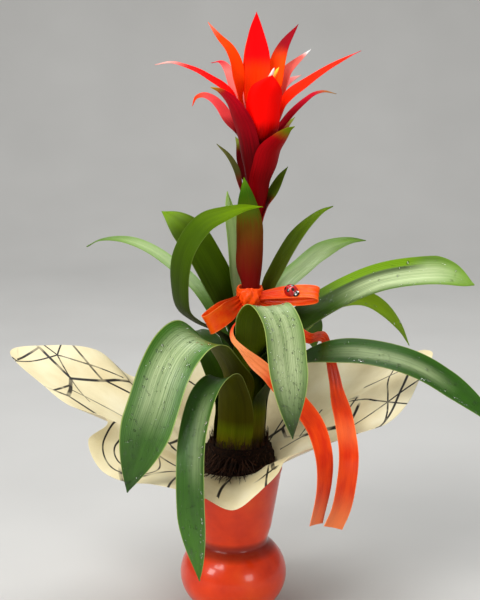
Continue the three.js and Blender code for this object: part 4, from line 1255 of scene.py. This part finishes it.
LOOP_OUTLINE = [
    (0, -0.16), (0.4, -0.46), (0.8, -0.5), (0.97, -0.25), (1, 0.05), (0.96, 0.3), (0.76, 0.5), (0.4, 0.44),
    (0, 0.16),
]
LOOP_SHADE = [(0.0, 0.75), (0.16, 0.6), (0.3, 0.0), (0.7, 0.0), (0.84, 0.6), (1.0, 0.75)]
BOW_LOOPS = {
    "left": dict(root=(6.5, -5, 278), far=(-21, -28, 262), gap=9, side=(-0.4, -0.1, 0.9), width=17),
    "right": dict(root=(21, -5, 280), far=(70, -20, 286), gap=10, side=(0, 0.77, 0.64), width=13),
}
RIBBON_TAILS = {
    "left": dict(
        path=[(10, -9, 276), (7, -15, 267), (-0.5, -24, 258), (0, -34, 252), (7, -43, 246), (17, -48, 237),
              (32, -54, 225), (50, -60, 208), (65, -69, 190), (72, -79, 168), (72, -85, 145),
              (66, -87, 113)],
        side=(1, 0, 0.2),
        twist=[(0, 60), (0.2, 60), (0.38, 20), (0.55, 0), (1, -25)],
        width_at=[(0.2, 5), (0.34, 12), (0.46, RIBBON["width"])],
        painted_light=[(0.1, 0.0), (0.2, 0.85), (0.33, 0.6), (0.42, 0.0), (0.85, 0.0), (1.0, 0.45)],
    ),
    "right": dict(
        path=[(20, -7, 277), (40, -11, 267), (52, -25, 257), (62, -24, 250), (70, -11, 248), (77, 5, 242),
              (82, 4, 225), (86, -28, 205), (90, -58, 187), (92, -78, 167), (90, -84, 146), (86, -84, 124),
              (80, -84, 109)],
        side=(0.4, 0.3, 0.8),
        twist=[(0, 0)],
        width_at=[(0.35, RIBBON["gathered"]), (0.5, 12), (0.62, RIBBON["width"])],
        painted_light=[(0.62, 0.0), (0.7, 0.2), (0.78, 0.0), (0.86, 0.0), (1.0, 0.5)],
    ),
}
LADYBIRD = dict(length=15, width=11, height=6, head=(2.9, 3.1, 2.6), along=0.58, rise=1.0, groove=0.35,
                heading=(0.75, -0.5, -0.42))
# The place on the back and the size of each spot, as shares of the half length and half width.
LADYBIRD_SPOTS = [
    (0.1, 0.5, 0.24), (0.1, -0.5, 0.24), (-0.45, 0.42, 0.2), (-0.45, -0.42, 0.2), (0.55, 0.0, 0.22),
]


def loop_frame(form):
    """A loop's root, its reach to the far end, its width's direction and the way it opens."""
    root, side = np.array(form["root"], float), np.array(form["side"])
    reach = np.array(form["far"], float) - root
    across = unit(side - unit(reach) * np.dot(side, unit(reach)))
    return root, reach, across, unit(np.cross(across, reach))


def ribbon_run(name, track, side, width_at, twist, satin, rows):
    """One run of ribbon: pleated where it is gathered, flat with soft waves where it is free."""
    width, gathered = RIBBON["width"], RIBBON["gathered"]

    def cup(u, centre):
        return np.full(len(u), RIBBON["cup"])

    def width_along(u):
        return eased(width_at, u)

    strip = Strip(track, side, width_along, cup, twist, rows, RIBBON["columns"])
    along, v = strip.grid()
    drawn = 1 - smooth((strip.width - gathered) / (width - gathered))[:, None]
    creased = RIBBON["pleat"] * drawn * np.cos(6 * math.pi * v + 3 * strip.u[:, None]) * np.cos(math.pi * v)
    strip.push(creased + RIBBON["ripple"] * waves(len(name), 4, along * 0.1, v * 5))
    piece = sheet_object(name, strip, RIBBON["thickness"], [satin], sharp=60)
    dress(piece, "satin", "ribbon")


def make_knot(satin):
    """The knot: a drawn band round the stalk and a crumpled turn of ribbon over its front."""
    a, s = np.meshgrid(full_turn(120), full_turn(28), indexing="ij")
    middle, thick = (KNOT["inner"] + KNOT["outer"]) / 2, (KNOT["outer"] - KNOT["inner"]) / 2
    height = 0.5 * KNOT["height"] * np.sin(s)
    folds = 0.7 * np.sin(height * 1.7 + 1.8 * np.sin(2 * a)) * (np.cos(s) > 0)
    radius = middle + thick * np.sign(np.cos(s)) * np.abs(np.cos(s)) ** 0.5 + folds * np.cos(s)
    band = about((KNOT["x"], 0), radius, a, KNOT["z"] + height + 0.5 * np.sin(3 * a))
    index = np.arange(a.size).reshape(a.shape)
    onward, beside = np.roll(index, -1, 0), np.roll(index, -1, 1)
    faces = np.stack([index, onward, np.roll(onward, -1, 1), beside], axis=-1).reshape(-1, 4)
    knot = joined([(band.reshape(-1, 3), faces), crumpled_lump()])
    add("bow_knot", knot, satin, "satin", "ribbon", uv=np.full((len(knot[0]), 2), 0.5), sharp=70)


def crumpled_lump():
    """A rounded lump with twisted pleats, in front of the band."""
    rows, columns = 30, 48
    p, a = np.meshgrid(np.linspace(0, math.pi, rows + 1)[1:-1], full_turn(columns), indexing="ij")
    pleats = 1 + 0.18 * np.sin(5 * a + 3.2 * p) * np.sin(p) + 0.08 * np.sin(9 * a - 4 * p)
    rx, ry, rz = KNOT["lump"]
    ball = np.stack([rx * np.sin(p) * np.cos(a), ry * np.sin(p) * np.sin(a), rz * np.cos(p)], axis=-1)
    ring = (ball * pleats[..., None]).reshape(-1, 3)
    points = np.vstack([ring, (0, 0, rz), (0, 0, -rz)]) + (KNOT["x"], -KNOT["outer"], KNOT["z"])
    caps = [*fan(len(ring), 0, columns), *fan(len(ring) + 1, (rows - 2) * columns, columns, True)]
    return points, [*quads(rows - 2, columns), *caps]


def make_ribbon():
    make_knot(satin_finish())
    looped = satin_finish("satin_loop", shade=LOOP_SHADE)
    for name, form in BOW_LOOPS.items():
        start, reach, across, opening = loop_frame(form)
        track = Track([start + reach * out + opening * apart * form["gap"] for out, apart in LOOP_OUTLINE])
        ends, full = RIBBON["gathered"], form["width"]
        width_at = [(0, ends), (0.25, full), (0.75, full), (1, ends)]
        ribbon_run(f"bow_loop_{name}", track, across, width_at, [(0, 0)], looped, 90)
    for name, form in RIBBON_TAILS.items():
        # The tails take darker tones of the same satin: painted shade.
        satin = satin_finish(f"satin_tail_{name}", "c83a02", "e25008", form["painted_light"])
        side, width_at, twist = form["side"], form["width_at"], form["twist"]
        ribbon_run(f"bow_tail_{name}", Track(form["path"]), side, width_at, twist, satin, 130)


def spot_patch(radii, x, y, size, rings=4, sides=18):
    """A thin round patch that follows the ladybird's back."""
    share = size * np.arange(1, rings + 1)[:, None] / rings
    x = np.append(x + 0.8 * share * np.cos(full_turn(sides)), x)
    y = np.append(y + share * np.sin(full_turn(sides)), y)
    back = np.stack([x, y, np.sqrt(np.maximum(0.02, 1 - x * x - y * y))], axis=-1)
    points = np.vstack([back * radii + unit(back / radii) * lift for lift in (0.12, -0.25)])
    layer = rings * sides + 1
    faces = []
    for start, flip in ((0, False), (layer, True)):
        faces += [*quads(rings - 1, sides, start, flip), *fan(start + layer - 1, start, sides, flip)]
    return points, [*faces, *walls((rings - 1) * sides + np.arange(sides), layer)]


def make_ladybird():
    """It sits on the right loop: a red shell with five spots, a black head and white eyes."""
    form = BOW_LOOPS["right"]
    start, reach, _, opening = loop_frame(form)
    up, ahead = -opening, np.array(LADYBIRD["heading"])
    ahead = unit(ahead - up * np.dot(ahead, up))
    place = start + reach * LADYBIRD["along"] + up * (form["gap"] / 2 + LADYBIRD["rise"])
    length = LADYBIRD["length"]
    radii = np.array([length * 0.42, LADYBIRD["width"] / 2, LADYBIRD["height"]])
    red = lacquer_finish("ladybird_red", "a30c10", "c4161a")
    black = lacquer_finish("ladybird_black", "0b0809", "16100f")
    white = lacquer_finish("ladybird_white", "efece6", "ffffff")
    unturned = np.eye(3)
    head = posed(dome(LADYBIRD["head"], 8, 24), unturned, (length * 0.36, 0, 0.4))
    eye = dome((0.75, 0.75, 0.6), 5, 12)
    eyes = joined([posed(eye, unturned, (0.36 * length + 1.7, side, 2.2)) for side in (1.5, -1.5)])
    spots = joined([spot_patch(radii, *spot) for spot in LADYBIRD_SPOTS])
    parts = [("shell", dome(radii, 14, 36, LADYBIRD["groove"]), red, ["ladybird"]),
             ("head", head, black, ["ladybird"]), ("spots", spots, black, []), ("eyes", eyes, white, [])]
    for name, shape, lacquer, nodes in parts:
        shape = posed(shape, (ahead, np.cross(up, ahead), up), place)
        add(f"ladybird_{name}", shape, lacquer, "ladybird_lacquer", *nodes)


# Studio

CAMERA = dict(target=(5.8, 0, 276.5), distance=1100, elevation=13, lens=79.2, sensor=36)
WARM, COOL = (1.0, 0.99, 0.97), (0.97, 0.99, 1.0)
# Place, target and size in metres, power in watts, and colour of each light.
LIGHTS = {
    "key": ((-0.9, -1.2, 1.9), (0, 0, 0.28), 1.0, 34, WARM),
    "over": ((0.1, 0.5, 1.9), (0, 0, 0.28), 1.2, 26, COOL),
    "low": ((0.9, -1.3, 0.5), (0, 0, 0.1), 0.5, 5, WARM),
    "side": ((-1.2, -0.9, 0.8), (0.1, 0, 0.2), 0.4, 7, WARM),
}
AIR = {"Color": (0.84, 0.84, 0.82, 1), "Strength": 0.4}
# The floor runs back, turns up in a round corner and ends as a wall, in metres.
SWEEP = dict(front=-4.0, depth=1.4, radius=0.9, half_width=6.0, height=4.0)


def aimed(name, data, place, back):
    """A camera or light at a place, with its back turned in a direction."""
    made = bpy.data.objects.new(name, data)
    bpy.context.scene.collection.objects.link(made)
    made.location = place
    made.rotation_euler = (-back).to_track_quat("-Z", "Y").to_euler()
    return made


def make_camera():
    tilt = math.radians(CAMERA["elevation"])
    back = Vector((0, -math.cos(tilt), math.sin(tilt)))
    place = (Vector(CAMERA["target"]) + back * CAMERA["distance"]) * MM
    camera = aimed("camera", bpy.data.cameras.new("camera"), place, back)
    camera.data.lens = CAMERA["lens"]
    camera.data.sensor_width = CAMERA["sensor"]
    camera.data.clip_start = 0.05
    camera.data.clip_end = 50
    bpy.context.scene.camera = camera


def make_studio():
    finish = mottled_finish("studio_floor", "b9b8b6", "bebdbb", 5.0, 0, 2.0, roughness=0.75, specular=0.2)
    depth, radius, half = SWEEP["depth"], SWEEP["radius"], SWEEP["half_width"]
    turn = np.linspace(0.1, math.pi / 2, 14)
    corner = [(depth + radius * math.sin(a), radius * (1 - math.cos(a))) for a in turn]
    profile = [(SWEEP["front"], 0.0), (depth, 0.0), *corner, (depth + radius, SWEEP["height"])]
    points = [(x / MM, y / MM, z / MM) for y, z in profile for x in (-half, half)]
    faces = [(2 * k, 2 * k + 1, 2 * k + 3, 2 * k + 2) for k in range(len(profile) - 1)]
    make_object("studio_sweep", (points, faces), [finish], sharp=180)
    for name, (place, target, size, power, colour) in LIGHTS.items():
        light = bpy.data.lights.new(name, "AREA")
        light.shape = "SQUARE"
        light.size = size
        light.energy = power
        light.color = colour
        aimed(name, light, place, Vector(place) - Vector(target))
    world = bpy.data.worlds.new("studio_air")
    bpy.context.scene.world = world
    world.use_nodes = True
    for name, value in AIR.items():
        world.node_tree.nodes["Background"].inputs[name].default_value = value
    bpy.context.scene.view_settings.view_transform = "Standard"


make_camera()
make_leaves()
make_bracts()
make_stalk()
make_florets()
make_pot()
make_potting_mix()
make_paper()
make_ribbon()
make_ladybird()
make_studio()
